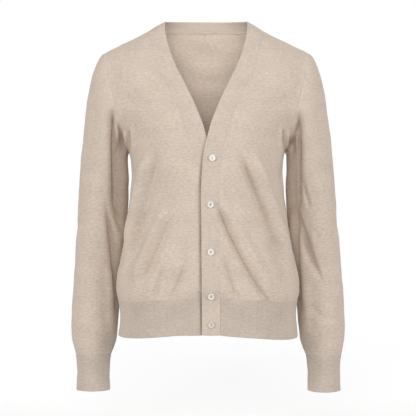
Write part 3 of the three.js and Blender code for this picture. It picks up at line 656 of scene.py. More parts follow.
class Desk:
    """Lays out and joins the nodes of one material."""

    def __init__(self, name: str) -> None:
        """Makes an empty material with its output and its main shader."""
        self.material = bpy.data.materials.new(name)
        self.material.use_nodes = True
        self.tree = self.material.node_tree
        self.tree.nodes.clear()
        self.shader = self.node("BsdfPrincipled")
        self.feed(self.node("OutputMaterial").inputs["Surface"], self.shader.outputs["BSDF"])

    def node(self, kind: str, **settings: object) -> bpy.types.Node:
        """A new shader node of a kind, with its settings."""
        node = self.tree.nodes.new(f"ShaderNode{kind}")
        for name, value in settings.items():
            setattr(node, name, value)
        return node

    def feed(self, socket: Socket, value: object) -> None:
        """Links a socket to an input, or sets the input to a plain value."""
        if isinstance(value, Socket):
            self.tree.links.new(value, socket)
        else:
            socket.default_value = value

    def feed_all(self, node: bpy.types.Node, inputs: dict[str, object]) -> None:
        """Feeds a node's inputs by name."""
        for name, value in inputs.items():
            self.feed(node.inputs[name], value)

    def math(self, operation: str, *values: object, clamp: bool = False) -> Socket:
        """The operation on up to three numbers or sockets, held within 0 to 1 by a clamp."""
        node = self.node("Math", operation=operation, use_clamp=clamp)
        for socket, value in zip(node.inputs, values):
            self.feed(socket, value)
        return node.outputs[0]

    def cloth(self) -> Socket:
        """The piece's own UV in millimetres."""
        return self.scaled(self.node("UVMap", uv_map="cloth").outputs["UV"], (1.0 / MM,) * 3)

    def scaled(self, vector: Socket, scale: Triple) -> Socket:
        """A vector with its three parts multiplied."""
        node = self.node("Mapping")
        self.feed_all(node, {"Vector": vector, "Scale": scale})
        return node.outputs["Vector"]

    def parts(self, vector: Socket) -> tuple[Socket, Socket]:
        """The first two parts of a vector."""
        node = self.node("SeparateXYZ")
        self.feed(node.inputs[0], vector)
        return node.outputs["X"], node.outputs["Y"]

    def noise(self, vector: Socket, scale: float = 1.0, detail: float = 1.0,
              rough: float = 0.5) -> Socket:
        """Cloudy numbers round 0.5."""
        node = self.node("TexNoise")
        self.feed_all(node, {"Vector": vector, "Scale": scale, "Detail": detail, "Roughness": rough})
        return node.outputs["Fac"]

    def swing(self, noise: Socket, strength: float) -> Socket:
        """A noise moved to lie round 0, times a strength."""
        return self.math("MULTIPLY", self.math("SUBTRACT", noise, 0.5), strength)

    def blend(self, share: object, first: object, second: object) -> Socket:
        """A colour between two (plain colours or sockets), by a share from 0 to 1."""
        node = self.node("Mix", data_type="RGBA")
        self.feed(node.inputs[0], share)
        for socket, colour in ((node.inputs[6], first), (node.inputs[7], second)):
            self.feed(socket, colour if isinstance(colour, Socket) else (*colour, 1.0))
        return node.outputs[2]

    def bump(self, height: Socket, depth: float, strength: float) -> None:
        """Lets a height of 0 to 1 tilt the shader's normal, with its full depth in millimetres."""
        node = self.node("Bump")
        self.feed_all(node, {"Strength": strength, "Distance": depth * MM, "Height": height})
        self.feed(self.shader.inputs["Normal"], node.outputs["Normal"])

    def finished(self, inputs: dict[str, object]) -> bpy.types.Material:
        """The material, once the named inputs of its shader are fed."""
        self.feed_all(self.shader, inputs)
        return self.material


@dataclass(frozen=True)
class KnitFinish:
    """A melange knit: two linear yarn tones in flecks, and stitches a wale by a course in size.

    slot is not used; wall belongs to the cloth that is knitted so.
    """

    name: str
    light: Triple
    dark: Triple
    wale: float = 1.15
    course: float = 1.1
    flecks: float = 0.95
    slot: str = "rib"
    wall: float = 2.4
    stitch: float = 0.35
    nap: float = 0.25
    roughness: float = 0.92

    @functools.cache
    def material(self) -> bpy.types.Material:
        """Colour from three sizes of noise on the piece's own UV, darkened by painted shade between the
        stitch legs; relief from the stitches.
        """
        desk = Desk(self.name)
        place = desk.cloth()
        fleck = desk.noise(desk.scaled(place, (0.14, 0.34, 1.0)), 1.0, 2.0, 0.6)
        fibre = desk.noise(desk.scaled(place, (0.6, 1.1, 1.0)))
        cloud = desk.noise(desk.scaled(place, (0.02, 0.035, 1.0)))
        mixed = desk.math("ADD", desk.swing(fleck, 1.7), desk.swing(fibre, 0.9))
        mixed = desk.math("ADD", mixed, desk.swing(cloud, 0.6))
        share = desk.math("MULTIPLY_ADD", mixed, self.flecks, 0.5, clamp=True)
        height = self.stitches(desk, place)
        # painted shade: the colour is darkened where the stitch relief is low, between the legs and
        # between the columns
        painted_stitch_shade = desk.math("MULTIPLY", desk.math("SUBTRACT", 1.0, height), self.stitch * 0.3)
        toned = desk.math("SUBTRACT", share, painted_stitch_shade, clamp=True)
        fuzz = desk.math("MULTIPLY", desk.noise(place, 2.2), 0.5)
        desk.bump(desk.math("MULTIPLY_ADD", height, 0.75, fuzz), 0.28, self.stitch)
        return desk.finished({
            "Base Color": desk.blend(toned, self.dark, self.light), "Roughness": self.roughness,
            "Specular IOR Level": 0.22, "Sheen Weight": self.nap, "Sheen Roughness": 0.55,
            "Sheen Tint": (1.0, 0.93, 0.86, 1.0)})

    def stitches(self, desk: Desk, place: Socket) -> Socket:
        """Heights of V stitches, 0 to 1.

        f is 0 in the middle of a stitch column and 1 between two columns; the legs slant with it.
        """
        x, y = desk.parts(place)
        column = desk.math("FRACT", desk.math("DIVIDE", x, self.wale))
        f = desk.math("MULTIPLY", desk.math("ABSOLUTE", desk.math("SUBTRACT", column, 0.5)), 2.0)
        row = desk.math("DIVIDE", y, self.course)
        slant = desk.math("ADD", row, desk.math("MULTIPLY", f, 0.8))
        leg = desk.math("SINE", desk.math("MULTIPLY", slant, TURN))
        leg = desk.math("MULTIPLY_ADD", leg, 0.3, 0.7)
        return desk.math("MULTIPLY", leg, desk.math("SUBTRACT", 1.0, desk.math("MULTIPLY", f, f)))


@dataclass(frozen=True)
class ButtonFinish:
    """Pearly resin: a clear bright skin over a clouded, slightly warm body."""

    name: str
    light: Triple
    dark: Triple
    # the colour of the painted shade in the dished middle of the face
    well: Triple
    well_radius: float = 3.4
    well_edge: float = 0.9

    @functools.cache
    def material(self) -> bpy.types.Material:
        """Colour clouded in layers, with painted shade darkening the dished middle of the face, and a
        thin coat.
        """
        desk = Desk(self.name)
        span = desk.node("VectorMath", operation="LENGTH")
        desk.feed(span.inputs[0], desk.cloth())
        # painted shade: inside the well's radius the colour blends towards the darker well colour
        inside = desk.math("MULTIPLY", desk.math("SUBTRACT", self.well_radius,
                                                 span.outputs["Value"]), 1.0 / self.well_edge,
                           clamp=True)
        place = desk.scaled(desk.node("TexCoord").outputs["Object"], (1.0 / MM,) * 3)
        cloud = desk.noise(desk.scaled(place, (0.5, 0.5, 1.1)), 1.0, 3.0, 0.6)
        share = desk.math("ADD", desk.swing(cloud, 1.8), 0.62, clamp=True)
        body = desk.blend(share, self.dark, self.light)
        desk.bump(desk.noise(place, 0.9), 0.05, 0.3)
        return desk.finished({
            "Base Color": desk.blend(inside, body, self.well), "Roughness": 0.28,
            "Coat Weight": 0.4, "Coat Roughness": 0.12})


@dataclass(frozen=True)
class ThreadFinish:
    """Twisted sewing thread in the colour of the yarn."""

    name: str = "sewing_thread"
    light: Triple = (0.52, 0.44, 0.37)
    dark: Triple = (0.36, 0.29, 0.24)
    twist: float = 0.55

    @functools.cache
    def material(self) -> bpy.types.Material:
        """Slanting bands of two tones along the thread's own UV; the darker tone in the grooves of the
        twist is painted shade.
        """
        desk = Desk(self.name)
        slant = desk.math("MULTIPLY", desk.math("ADD", *desk.parts(desk.cloth())), TURN / self.twist)
        share = desk.math("MULTIPLY_ADD", desk.math("SINE", slant), 0.35, 0.6)
        # painted shade: the darker tone falls where this bump sinks, in the grooves of the twist
        desk.bump(share, 0.05, 0.4)
        return desk.finished({"Base Color": desk.blend(share, self.dark, self.light),
                              "Roughness": 0.8})


# ---- meshes


def placed(name: str, data: bpy.types.ID, spot: Sequence[float] = (0.0, 0.0, 0.0),
           tilt: float = 0.0, azimuth: float = 0.0) -> bpy.types.Object:
    """Puts a mesh, light or camera in the scene at a spot in metres, turned by degrees."""
    made = bpy.data.objects.new(name, data)
    made.location = spot
    made.rotation_euler = (math.radians(tilt), 0.0, math.radians(azimuth))
    bpy.context.scene.collection.objects.link(made)
    return made


def add_object(name: str, points: Array, faces: Array, uvs: Array,
               material: bpy.types.Material) -> bpy.types.Object:
    """Makes a smooth-shaded object at the origin from points, quads and the corners' UV in metres."""
    mesh = bpy.data.meshes.new(name)
    mesh.from_pydata(points * MM, [], faces)
    layer = mesh.uv_layers.new(name="cloth")
    layer.uv.foreach_set("vector", np.ascontiguousarray(uvs, np.float32).ravel())
    mesh.polygons.foreach_set("use_smooth", np.ones(len(faces), bool))
    mesh.materials.append(material)
    mesh.validate()
    mesh.update()
    return placed(name, mesh)


def cells(numbers: Array) -> Array:
    """The four numbers round every cell of a grid: down the first column, then up the second."""
    return np.stack([numbers[:-1, :-1], numbers[1:, :-1], numbers[1:, 1:], numbers[:-1, 1:]], -1)


def tube_numbers(rows: int, columns: int) -> Array:
    """The numbers of a grid's vertices, with its first column again after the last."""
    number = np.arange(rows * columns).reshape(rows, columns)
    return np.concatenate([number, number[:, :1]], axis=1)


def sum_at(numbers: Array, vectors: Array, count: int) -> Array:
    """The sum of the vectors that carry each of the first count numbers."""
    return np.stack([np.bincount(numbers, vectors[:, axis], count) for axis in range(3)], -1)


@dataclass
class Weave:
    """A grid of places on a skin: its vertex numbers, the cells that are left out and its face."""

    numbers: Array
    gap: Array
    outward: int

    @classmethod
    def of(cls, skin: Skin, down: Array, across: Array) -> "Weave":
        """Numbers the grid's places; a tube closes on itself, and a back at its double centre."""
        rows, columns = len(down), len(across)
        numbers = np.arange(rows * columns).reshape(rows, columns)
        gap = np.zeros((rows - 1, columns - 1), bool)
        if skin.round_tube:
            numbers[:, -1] = numbers[:, 0]
        if skin.halves:
            centre = columns // 2
            joined = down >= BACK_NECK - 1e-6
            numbers[joined, centre] = numbers[joined, centre - 1]
            gap[:, centre - 1] = True
        return cls(numbers, gap, skin.outward)

    def quads(self) -> tuple[Array, Array]:
        """Faces as four vertex numbers, and the same as places of the grid, facing outwards."""
        corner = cells(np.arange(self.numbers.size).reshape(self.numbers.shape))[~self.gap]
        if self.outward < 0:
            corner = corner[:, ::-1]
        return self.numbers.ravel()[corner], corner

    def normals(self, points: Array) -> Array:
        """Outward unit normals at the grid's places: the sum of the normals of the quads there."""
        faces, _ = self.quads()
        flat = points.reshape(-1, 3)
        diagonal = np.cross(flat[faces[:, 2]] - flat[faces[:, 0]], flat[faces[:, 3]] - flat[faces[:, 1]])
        total = sum(sum_at(faces[:, k], diagonal, len(flat)) for k in range(4))
        return unit(total)[self.numbers.ravel()].reshape(points.shape)


@dataclass
class Shell:
    """The closed wall between an outer and an inner layer of one weave, with rounded edges.

    free is how far the edge's round stands out at each place, as a share of half the wall.
    """

    weave: Weave
    outer: Array
    inner: Array
    uv: Array
    free: Array

    def build(self) -> Mesh:
        """Vertices, faces and corner UVs of the whole wall.

        Three rings of vertices round off every edge that belongs to one quad only.
        """
        quads, corners = self.weave.quads()
        outer, inner = self.outer.reshape(-1, 3), self.inner.reshape(-1, 3)
        count, uv = len(outer), self.uv.reshape(-1, 2)
        ahead = np.stack([quads, np.roll(quads, -1, axis=1)], axis=-1).reshape(-1, 2)
        spots = np.stack([corners, np.roll(corners, -1, axis=1)], axis=-1).reshape(-1, 2)
        key, back = ahead[:, 0] * count + ahead[:, 1], ahead[:, 1] * count + ahead[:, 0]
        rim = ~np.isin(key, back)
        edges, pair = ahead[rim], uv[spots[rim]]
        rim_points = np.unique(edges)
        middle, half = (outer + inner) / 2.0, (outer - inner) / 2.0
        off = unit(np.cross(outer[edges[:, 1]] - outer[edges[:, 0]], half[edges[:, 0]]))
        away = unit(sum(sum_at(edges[:, k], off, count) for k in range(2)))[rim_points]
        half, middle = half[rim_points], middle[rim_points]
        reach = np.linalg.norm(half, axis=1) * self.free.reshape(-1)[rim_points]
        points, faces, uvs = [outer, inner], [quads, quads[:, ::-1] + count], [uv[corners]]
        uvs.append(uvs[0][:, ::-1])
        local = np.searchsorted(rim_points, edges)
        levels = [edges]
        for step, angle in enumerate(np.radians([45.0, 90.0, 135.0])):
            points.append(middle + half * math.cos(angle) + away * (reach * math.sin(angle))[:, None])
            levels.append(local + 2 * count + step * len(rim_points))
        levels.append(edges + count)
        for upper, lower in zip(levels[:-1], levels[1:]):
            faces.append(np.concatenate([upper[:, ::-1], lower], axis=1))
            uvs.append(pair[:, [1, 0, 0, 1]])
        points, faces = np.concatenate(points), np.concatenate(faces)
        used, renumbered = np.unique(faces, return_inverse=True)
        return points[used], renumbered.reshape(faces.shape), np.concatenate(uvs)


@dataclass(frozen=True)
class Cut:
    """What a cloth piece was cut to: flat width and length in metres, and the area if shaped."""

    width: float
    length: float
    area: Optional[float] = None


@dataclass(frozen=True)
class Loft:
    """What the surface of every knitted piece has in common, in millimetres or as shares."""

    long_wave: float = 62.0
    short_wave: float = 19.0
    short_share: float = 0.3
    seam_dip: float = 0.3
    seam_width: float = 1.1
    faint_share: float = 0.3
    roll_width: float = 3.2
    rib_fade: float = 3.0
    gutter_width: float = 3.0
    gutter_gap: float = 0.6
    gather_pitches: tuple[float, ...] = (9.0, 12.5, 17.0, 26.0)
    gather_reach: float = 15.0
    ridge_height: float = 0.9
    ridge_place: float = 3.0
    ridge_width: float = 1.3
    calm_sides: float = 10.0
    calm_ends: float = 26.0
    free_round: float = 0.9
    seam_round: float = 0.25


LOFT = Loft()


@dataclass
class ClothPiece:
    """One knitted piece: its skin, its stretch of the skin and what moves its surface."""

    name: str
    skin: Skin
    down: Array
    across: Array
    finish: KnitFinish
    cut: Cut
    rests_on: tuple[str, ...]
    folds: tuple[Fold, ...] = ()
    free: tuple[Edge, ...] = ()
    faint: tuple[Edge, ...] = ()
    soft: float = 0.4
    ribs: float = 0.0
    gutter: float = 0.0
    rolled: float = 0.0
    gathers: float = 0.0
    seed: int = 1
    inner_ridge: Optional[Edge] = None
    calm: int = 0
    object: Optional[bpy.types.Object] = field(default=None, init=False)

    def lengths(self, points: Array) -> tuple[Array, Array]:
        """Distances over the cloth from the first column, and down from the first row."""
        over = np.linalg.norm(np.diff(points, axis=1), axis=-1)
        down = np.linalg.norm(np.diff(points, axis=0), axis=-1)
        if self.skin.halves:
            over[:, len(self.across) // 2 - 1] = 0.0
        u = np.concatenate([np.zeros((len(points), 1)), np.cumsum(over, axis=1)], axis=1)
        v = np.concatenate([np.zeros((1, points.shape[1])), np.cumsum(down, axis=0)], axis=0)
        return u, v

    def to_edges(self, u: Array, v: Array) -> dict[Edge, Array]:
        """Distance of every grid point to each edge of the piece, far off where it has none."""
        far = np.full_like(u, 1e3)
        edges = {Edge.TOP: v, Edge.BOTTOM: v[-1:] - v, Edge.START: far, Edge.END: far,
                 Edge.NECK: far}
        if not self.skin.round_tube:
            edges.update({Edge.START: u, Edge.END: u[:, -1:] - u})
        if self.skin.halves:
            centre = u[:, len(self.across) // 2][:, None]
            row = int(np.argmin(np.abs(self.down - BACK_NECK)))
            edges[Edge.NECK] = np.hypot(u - centre, np.maximum(v - v[row:row + 1], 0.0))
        return edges

    def calmed(self, points: Array) -> Array:
        """The skin relaxed down its length, each round half way to the neighbours, less near edges."""
        far = self.to_edges(*self.lengths(points))
        sides = np.minimum(np.minimum(far[Edge.START], far[Edge.END]), far[Edge.NECK])
        ends = np.minimum(far[Edge.TOP], far[Edge.BOTTOM])
        inside = smooth(sides, 0.0, LOFT.calm_sides) * smooth(ends, 0.0, LOFT.calm_ends)
        share = 0.5 * inside[1:-1, :, None]
        points = points.copy()
        for _ in range(self.calm):
            points[1:-1] += share * ((points[:-2] + points[2:]) / 2.0 - points[1:-1])
        return points

    def relief(self, points: Array, normals: Array, u: Array, v: Array) -> Array:
        """How far every point moves outwards, by folds, soft waves, seams, gathers and ribs."""
        spots, facing = points.reshape(-1, 3), normals.reshape(-1, 3)
        height = self.soft * (waves(spots, LOFT.long_wave, 11)
                              + LOFT.short_share * waves(spots, LOFT.short_wave, 12))
        for fold in self.folds:
            height = height + fold.height(spots, facing)
        height = height.reshape(u.shape)
        edges = self.to_edges(u, v)
        for edge in (edge for edge in edges if edge not in self.free):
            dip = LOFT.seam_dip * (LOFT.faint_share if edge in self.faint else 1.0)
            height = height - dip * bell(edges[edge], LOFT.seam_width)
        height = height - self.gutter * self.beside_lap(points)
        height = height + self.rolled * bell(edges[Edge.END], LOFT.roll_width)
        height = height + self.gathered(u, edges[Edge.BOTTOM])
        column = np.arange(len(self.across))
        if self.skin.halves:
            column = column - (column >= len(column) // 2)
        keep = np.ones(u.shape)
        for edge in (Edge.TOP, Edge.BOTTOM):
            if edge not in self.free:
                keep = keep * smooth(edges[edge], 0.0, LOFT.rib_fade)
        return height + self.ribs * np.cos(TURN * column / RIB_SAMPLES) * keep

    @staticmethod
    def beside_lap(points: Array) -> Array:
        """How far a point lies in the gutter that opens beside the upper band below the V, 0 to 1."""
        row = np.linspace(7.0, HEM, 400)
        edge = LINES.front("edge", row, Side.LEFT)
        line = np.interp(-points[..., 2], -edge[:, 2], edge[:, 0])
        away = np.maximum(line - points[..., 0] - LOFT.gutter_gap, 0.0)
        z = points[..., 2]
        vary = 0.8 + 0.2 * np.sin(z / 13.0 + 1.3 * np.sin(z / 37.0))
        return bell(away, LOFT.gutter_width) * smooth(-z, 226.0, 262.0) * vary

    def gathered(self, u: Array, below: Array) -> Array:
        """Small upright puckers above a rib: uneven sines across, fading upwards."""
        rng = np.random.default_rng(self.seed)
        total = np.zeros_like(u)
        for pitch in LOFT.gather_pitches:
            wander = rng.uniform(0.0, TURN)
            total = total + np.sin(TURN * u / pitch + wander + 0.8 * np.sin(u / 31.0))
        fade = np.exp(-(below / LOFT.gather_reach)) * smooth(below, 0.0, 2.5)
        return self.gathers * 0.5 * total * fade

    def uv(self, u: Array, v: Array) -> Array:
        """UV in metres: across the stitch columns, and up along them from the lower edge."""
        if self.skin.round_tube or self.skin.halves:
            u = u - u[:, -1:] / 2.0
        if isinstance(self.skin, FrontSkin):
            u = u + np.abs(LINES.front("seam", self.down, self.skin.side)[:, :1])
        return np.stack([u, v[-1:] - v], axis=-1) * MM

    def build(self) -> None:
        """Makes the piece's mesh object from its skin, its relief and its wall."""
        weave = Weave.of(self.skin, self.down, self.across)
        down, across = np.meshgrid(self.down, self.across, indexing="ij")
        points = self.skin.point(down, across)
        normals = self.skin.normal(down, across)
        if self.calm:
            points = self.calmed(points)
            normals = weave.normals(points)
        u, v = self.lengths(points)
        height = self.relief(points, normals, u, v)
        middle = LINES.hang(points + normals * height[..., None])
        facing = weave.normals(middle)
        inside = np.full(middle.shape[:2], self.finish.wall / 2.0)
        if self.inner_ridge is not None:
            away = self.to_edges(u, v)[self.inner_ridge] - LOFT.ridge_place
            inside = inside + LOFT.ridge_height * bell(away, LOFT.ridge_width)
        free = np.full(middle.shape[:2], LOFT.seam_round)
        rims = {Edge.BOTTOM: np.s_[-1, :], Edge.END: np.s_[:, -1]}
        for edge in self.free:
            free[rims[edge]] = LOFT.free_round
        shell = Shell(weave, middle + facing * self.finish.wall / 2.0,
                      middle - facing * inside[..., None], self.uv(u, v), free)
        self.object = add_object(f"{self.name}_knit", *shell.build(), self.finish.material())

    def dress(self) -> None:
        """Ties the piece to the root and hides its CAD node."""
        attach(self.object, "root")
        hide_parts(self.name)
        list(self.rests_on)

    def report(self) -> None:
        """Logs the piece's triangles and cloth."""
        sizes = [face.area for face in self.object.data.polygons]
        log.info("%s: %d triangles, %.4f m2", self.name, 2 * len(sizes), sum(sizes) / 2.0)


# ---- sub-assemblies


@dataclass
class Assembly(ABC):
    """Knitted pieces that are made together, of two knits."""

    cloth: KnitFinish
    rib: KnitFinish

    @abstractmethod
    def pieces(self) -> Iterator[ClothPiece]:
        """The pieces in order, each with its grid, its cut and what it hangs from."""

    def build(self) -> None:
        """Makes, dresses and logs every piece."""
        for piece in self.pieces():
            piece.build()
            piece.dress()
            piece.report()


@dataclass
class Body(Assembly):
    """The two fronts and the back with their hem ribs."""

    row_step: float = 2.7
    column_step: float = 2.3
    rib_pitch: float = 2.4
    rib_depth: float = 0.26
    gutter: float = 3.4

    def pieces(self) -> Iterator[ClothPiece]:
        """Six pieces: left front, right front and back, each before its hem."""
        for side in Side:
            yield from self.front(FrontSkin(side), side.word)
        yield from self.back(BackSkin())

    def front(self, skin: FrontSkin, word: str) -> Iterator[ClothPiece]:
        """One front and its hem; the right one lies under the lap, with a gutter beside it."""
        gutter = 0.0 if skin.side is Side.LEFT else self.gutter
        yield ClothPiece(
            f"front_{word}", skin, skin.rows(0.5, 0.0, RIB_JOINT, self.row_step),
            skin.columns(12.0, 0.0, 1.0, self.column_step), self.cloth, Cut(0.215, 0.49, 0.0845),
            ("back", f"band_{word}"), BODY_FOLDS, faint=(Edge.START, Edge.END, Edge.BOTTOM),
            gutter=gutter, gathers=0.22, calm=70, seed=3 + skin.side)
        yield ClothPiece(
            f"hem_front_{word}", skin, skin.rows(0.5, RIB_JOINT, HEM, RIB_ROW_STEP),
            skin.rib_columns(20.0, 0.0, 1.0, self.rib_pitch), self.rib, Cut(0.225, 0.074),
            (f"front_{word}",), BODY_FOLDS, (Edge.BOTTOM,), (Edge.START, Edge.END, Edge.TOP),
            gutter=gutter, ribs=self.rib_depth)

    def back(self, skin: BackSkin) -> Iterator[ClothPiece]:
        """The back and its hem, each gridded as two mirrored halves."""
        upper = skin.rows(0.5, 0.0, BACK_NECK, self.row_step, SEAM_STEPS[:2])
        lower = skin.rows(0.5, BACK_NECK, RIB_JOINT, self.row_step)
        half = skin.columns(12.0, 0.0, 1.0, self.column_step)
        yield ClothPiece(
            "back", skin, np.concatenate([upper, lower[1:]]), np.concatenate([-half[::-1], half]),
            self.cloth, Cut(0.42, 0.50, 0.195), ("neckband_back",), BODY_FOLDS, gathers=0.4,
            inner_ridge=Edge.NECK, calm=70, seed=7)
        half = skin.rib_columns(20.0, 0.0, 1.0, self.rib_pitch)
        yield ClothPiece(
            "hem_back", skin, skin.rows(0.5, RIB_JOINT, HEM, RIB_ROW_STEP),
            np.concatenate([-half[::-1], half]), self.rib, Cut(0.42, 0.075), ("back",),
            BODY_FOLDS, (Edge.BOTTOM,), ribs=self.rib_depth)


@dataclass
class Sleeves(Assembly):
    """The two set-in sleeves with their cuffs."""

    row_step: float = 2.8
    column_step: float = 2.0
    rib_pitch: float = 2.3
    rib_depth: float = 0.24

    def pieces(self) -> Iterator[ClothPiece]:
        """Four pieces: each sleeve before its cuff."""
        joint, end = 1.0 + CUFF_JOINT, 1.0 + CUFF_END
        for side in Side:
            skin = SleeveSkin(side)
            yield ClothPiece(
                f"sleeve_{side.word}", skin, skin.rows(0.25, 0.0, joint, self.row_step),
                skin.columns(2.0, -0.5, 0.5, self.column_step, ()), self.cloth,
                Cut(0.35, 0.58, 0.145), (f"front_{side.word}", "back"), SLEEVE_FOLDS,
                gathers=0.25, seed=11 + side)
            yield ClothPiece(
                f"cuff_{side.word}", skin, skin.rows(0.25, joint, end, RIB_ROW_STEP),
                skin.rib_columns(11.0, -0.5, 0.5, self.rib_pitch), self.rib, Cut(0.215, 0.07),
                (f"sleeve_{side.word}",), SLEEVE_FOLDS, (Edge.BOTTOM,), ribs=self.rib_depth)


@dataclass
class Bands(Assembly):
    """The two front bands and, in the rib darkened by painted shade, the band round the back of the neck.
    """

    row_step: float = 2.8
    neck_step: float = 2.2
    ribs_across: int = 13
    rib_depth: float = 0.12
    soft: float = 0.22
    gutter: float = 3.4
    roll: float = 0.7

    def pieces(self) -> Iterator[ClothPiece]:
        """Three pieces; the upper band's edge rolls a little, and the lower one has the gutter."""
        across = np.linspace(0.0, 1.0, self.ribs_across * RIB_SAMPLES + 1)
        for side, gutter, roll in ((Side.LEFT, 0.0, self.roll), (Side.RIGHT, self.gutter, 0.0)):
            skin = BandSkin(side)
            yield ClothPiece(
                f"band_{side.word}", skin, skin.rows(0.5, 0.0, HEM, self.row_step), across,
                self.cloth, Cut(0.0335, 0.65), (f"front_{side.word}", "neckband_back"),
                BODY_FOLDS, (Edge.BOTTOM, Edge.END), (Edge.START, Edge.TOP), self.soft,
                self.rib_depth, gutter=gutter, rolled=roll)
        skin = NeckbandSkin()
        yield ClothPiece(
            "neckband_back", skin, skin.rows(0.0, -BACK_NECK, BACK_NECK, self.neck_step), across,
            self.rib, Cut(0.0335, 0.26), ("back",), (), (Edge.END,), (Edge.TOP, Edge.BOTTOM),
            self.soft, self.rib_depth, inner_ridge=Edge.START)


@dataclass
class Button:
    """One turned two-hole button and the thread that sews it on."""

    number: int
    finish: ButtonFinish
    thread: ThreadFinish = ThreadFinish()
    radius: float = 5.6
    thickness: float = 2.4
    rim: float = 1.5
    dish: float = 0.8
    corner: float = 0.55
    hole: float = 0.75
    hole_edge: float = 0.08
    sink: float = 1.9
    spacing: float = 3.2
    spokes: int = 96
    flat_rings: int = 20
    strand: float = 0.24
    lanes: tuple[float, ...] = (-0.36, -0.12, 0.12, 0.36)
    arch: float = 0.75

    def frame(self) -> tuple[Array, Array]:
        """Its middle, from its node's box, and its axes as columns: aside, up and out of the band."""
        low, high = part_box(f"button_{self.number}")
        centre = np.array((low + high) / 2.0) / MM
        skin = BandSkin(Side.LEFT)
        down = np.linspace(8.0, HEM, 600)
        heights = skin.point(down, np.full_like(down, 0.5))[:, 2]
        row = np.interp(-centre[2], -heights, down)
        out = skin.normal(np.array([row]), np.array([0.5]))[0]
        up = unit(np.array([0.0, 0.0, 1.0]) - out * out[2])
        return centre, np.stack([np.cross(up, out), up, out], axis=-1)

    def profile(self) -> Array:
        """The section, as (distance from the axis, height), from the face round to the back."""
        top, corner = self.thickness / 2.0, self.corner
        inner, shoulder = self.radius - self.rim, self.radius - corner
        slope = np.linspace(0.0, 1.0, 9)[1:]
        ease = (1.0 - np.cos(np.pi * slope)) / 2.0
        turn = np.linspace(0.0, np.pi / 2.0, 7)
        stretches = (
            (np.linspace(0.05, inner - self.dish, self.flat_rings), top - self.dish),
            (inner - self.dish + self.dish * slope, top - self.dish + self.dish * ease),
            (np.linspace(inner, shoulder, 5)[1:-1], top),
            (shoulder + corner * np.sin(turn), top - corner + corner * np.cos(turn)),
            (shoulder + corner * np.cos(turn), corner - top - corner * np.sin(turn)),
            (np.linspace(shoulder, 0.05, 8)[1:], -top))
        return np.concatenate([np.stack(np.broadcast_arrays(*part), -1) for part in stretches])

    def disc(self) -> Mesh:
        """Vertices, faces and UVs of the turned disc, with two holes sunk into the flat of its face."""
        profile = self.profile()
        angle = np.linspace(0.0, TURN, self.spokes + 1)[:-1]
        radius, height = profile[:, :1], profile[:, 1:]
        x, y = radius * np.cos(angle), radius * np.sin(angle)
        z = np.broadcast_to(height, x.shape).copy()
        flat = np.arange(len(profile))[:, None] < self.flat_rings
        for end in (-1.0, 1.0):
            away = np.hypot(x, y - end * self.spacing / 2.0)
            inside = 1.0 - smooth(away, self.hole - self.hole_edge, self.hole + self.hole_edge)
            z -= np.where(flat, self.sink * inside, 0.0)
        number = tube_numbers(*x.shape)
        k = np.arange(self.spokes // 2 - 1)
        caps = []
        for ring, step in ((number[0, :-1], 1), (number[-1, :-1], -1)):
            strip = np.stack([ring[k], ring[k + 1], ring[-k - 2], ring[-k - 1]], axis=-1)
            caps.append(strip[:, ::step])
        faces = np.concatenate([cells(number).reshape(-1, 4), *caps])
        points = np.stack([x, y, z], axis=-1).reshape(-1, 3)
        return points, faces, points[faces][..., :2] * MM

    def strands(self) -> Mesh:
        """Vertices, faces and UVs of four threads, each an arch of eight sides between the two holes."""
        turn = np.linspace(0.0, np.pi, 15)
        ring = np.linspace(0.0, TURN, 9)[:-1]
        reach, floor = self.spacing / 2.0, self.thickness / 2.0 - self.dish
        cap = np.array([[3, 2, 1, 0], [4, 3, 0, 7], [5, 4, 7, 6]])
        vertices, faces = [], []
        for lane in self.lanes:
            lift = self.arch + 0.12 * math.cos(lane * 9.0)
            middle = np.stack([np.full_like(turn, lane), reach * np.cos(turn),
                               floor - 0.55 + lift * np.sin(turn) ** 0.7 + 0.3], axis=-1)
            tangent = unit(np.gradient(middle, axis=0))
            side = np.broadcast_to([1.0, 0.0, 0.0], tangent.shape)
            up = np.cross(tangent, side)
            tube = (middle[:, None] + self.strand * (side[:, None] * np.cos(ring)[:, None]
                                                     + up[:, None] * np.sin(ring)[:, None]))
            number = tube_numbers(len(turn), len(ring)) + len(turn) * len(ring) * len(vertices)
            vertices.append(tube.reshape(-1, 3))
            faces.extend([cells(number)[..., [0, 3, 2, 1]].reshape(-1, 4),
                          number[0][cap], number[-1][cap[:, ::-1]]])
        points, quads = np.concatenate(vertices), np.concatenate(faces)
        return points, quads, points[quads][..., [1, 0]] * MM

    def build(self) -> None:
        """Makes the disc and its thread, each in its finish and placed by the frame, and ties them to the
        root.
        """
        centre, axes = self.frame()
        name = f"button_{self.number}"
        for word, (points, faces, uvs), finish in (("resin", self.disc(), self.finish),
                                                   ("thread", self.strands(), self.thread)):
            piece = add_object(f"{name}_{word}", centre + points @ axes.T, faces, uvs,
                               finish.material())
            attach(piece, "root")
            if word == "resin":
                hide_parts(name)
        log.info("%s: at %s mm", name, np.round(centre, 1).tolist())


# ---- the studio


@dataclass(frozen=True)
class Sun:
    """A broad soft light; azimuth is 0 in front and 90 at +X, and all angles are in degrees."""

    name: str
    strength: float
    angle: float
    azimuth: float
    height: float

    def build(self) -> None:
        """Puts up the light."""
        data = bpy.data.lights.new(self.name, "SUN")
        data.energy = self.strength
        data.angle = math.radians(self.angle)
        placed(self.name, data, tilt=90.0 - self.height, azimuth=self.azimuth)


SUNS = (
    Sun("front_light", 0.92, 24.0, -3.0, 15.0),
    Sun("left_light", 1.16, 28.0, -55.0, 12.0),
    Sun("right_light", 1.16, 28.0, 55.0, 12.0),
    Sun("back_light", 1.0, 40.0, 168.0, 26.0),
)


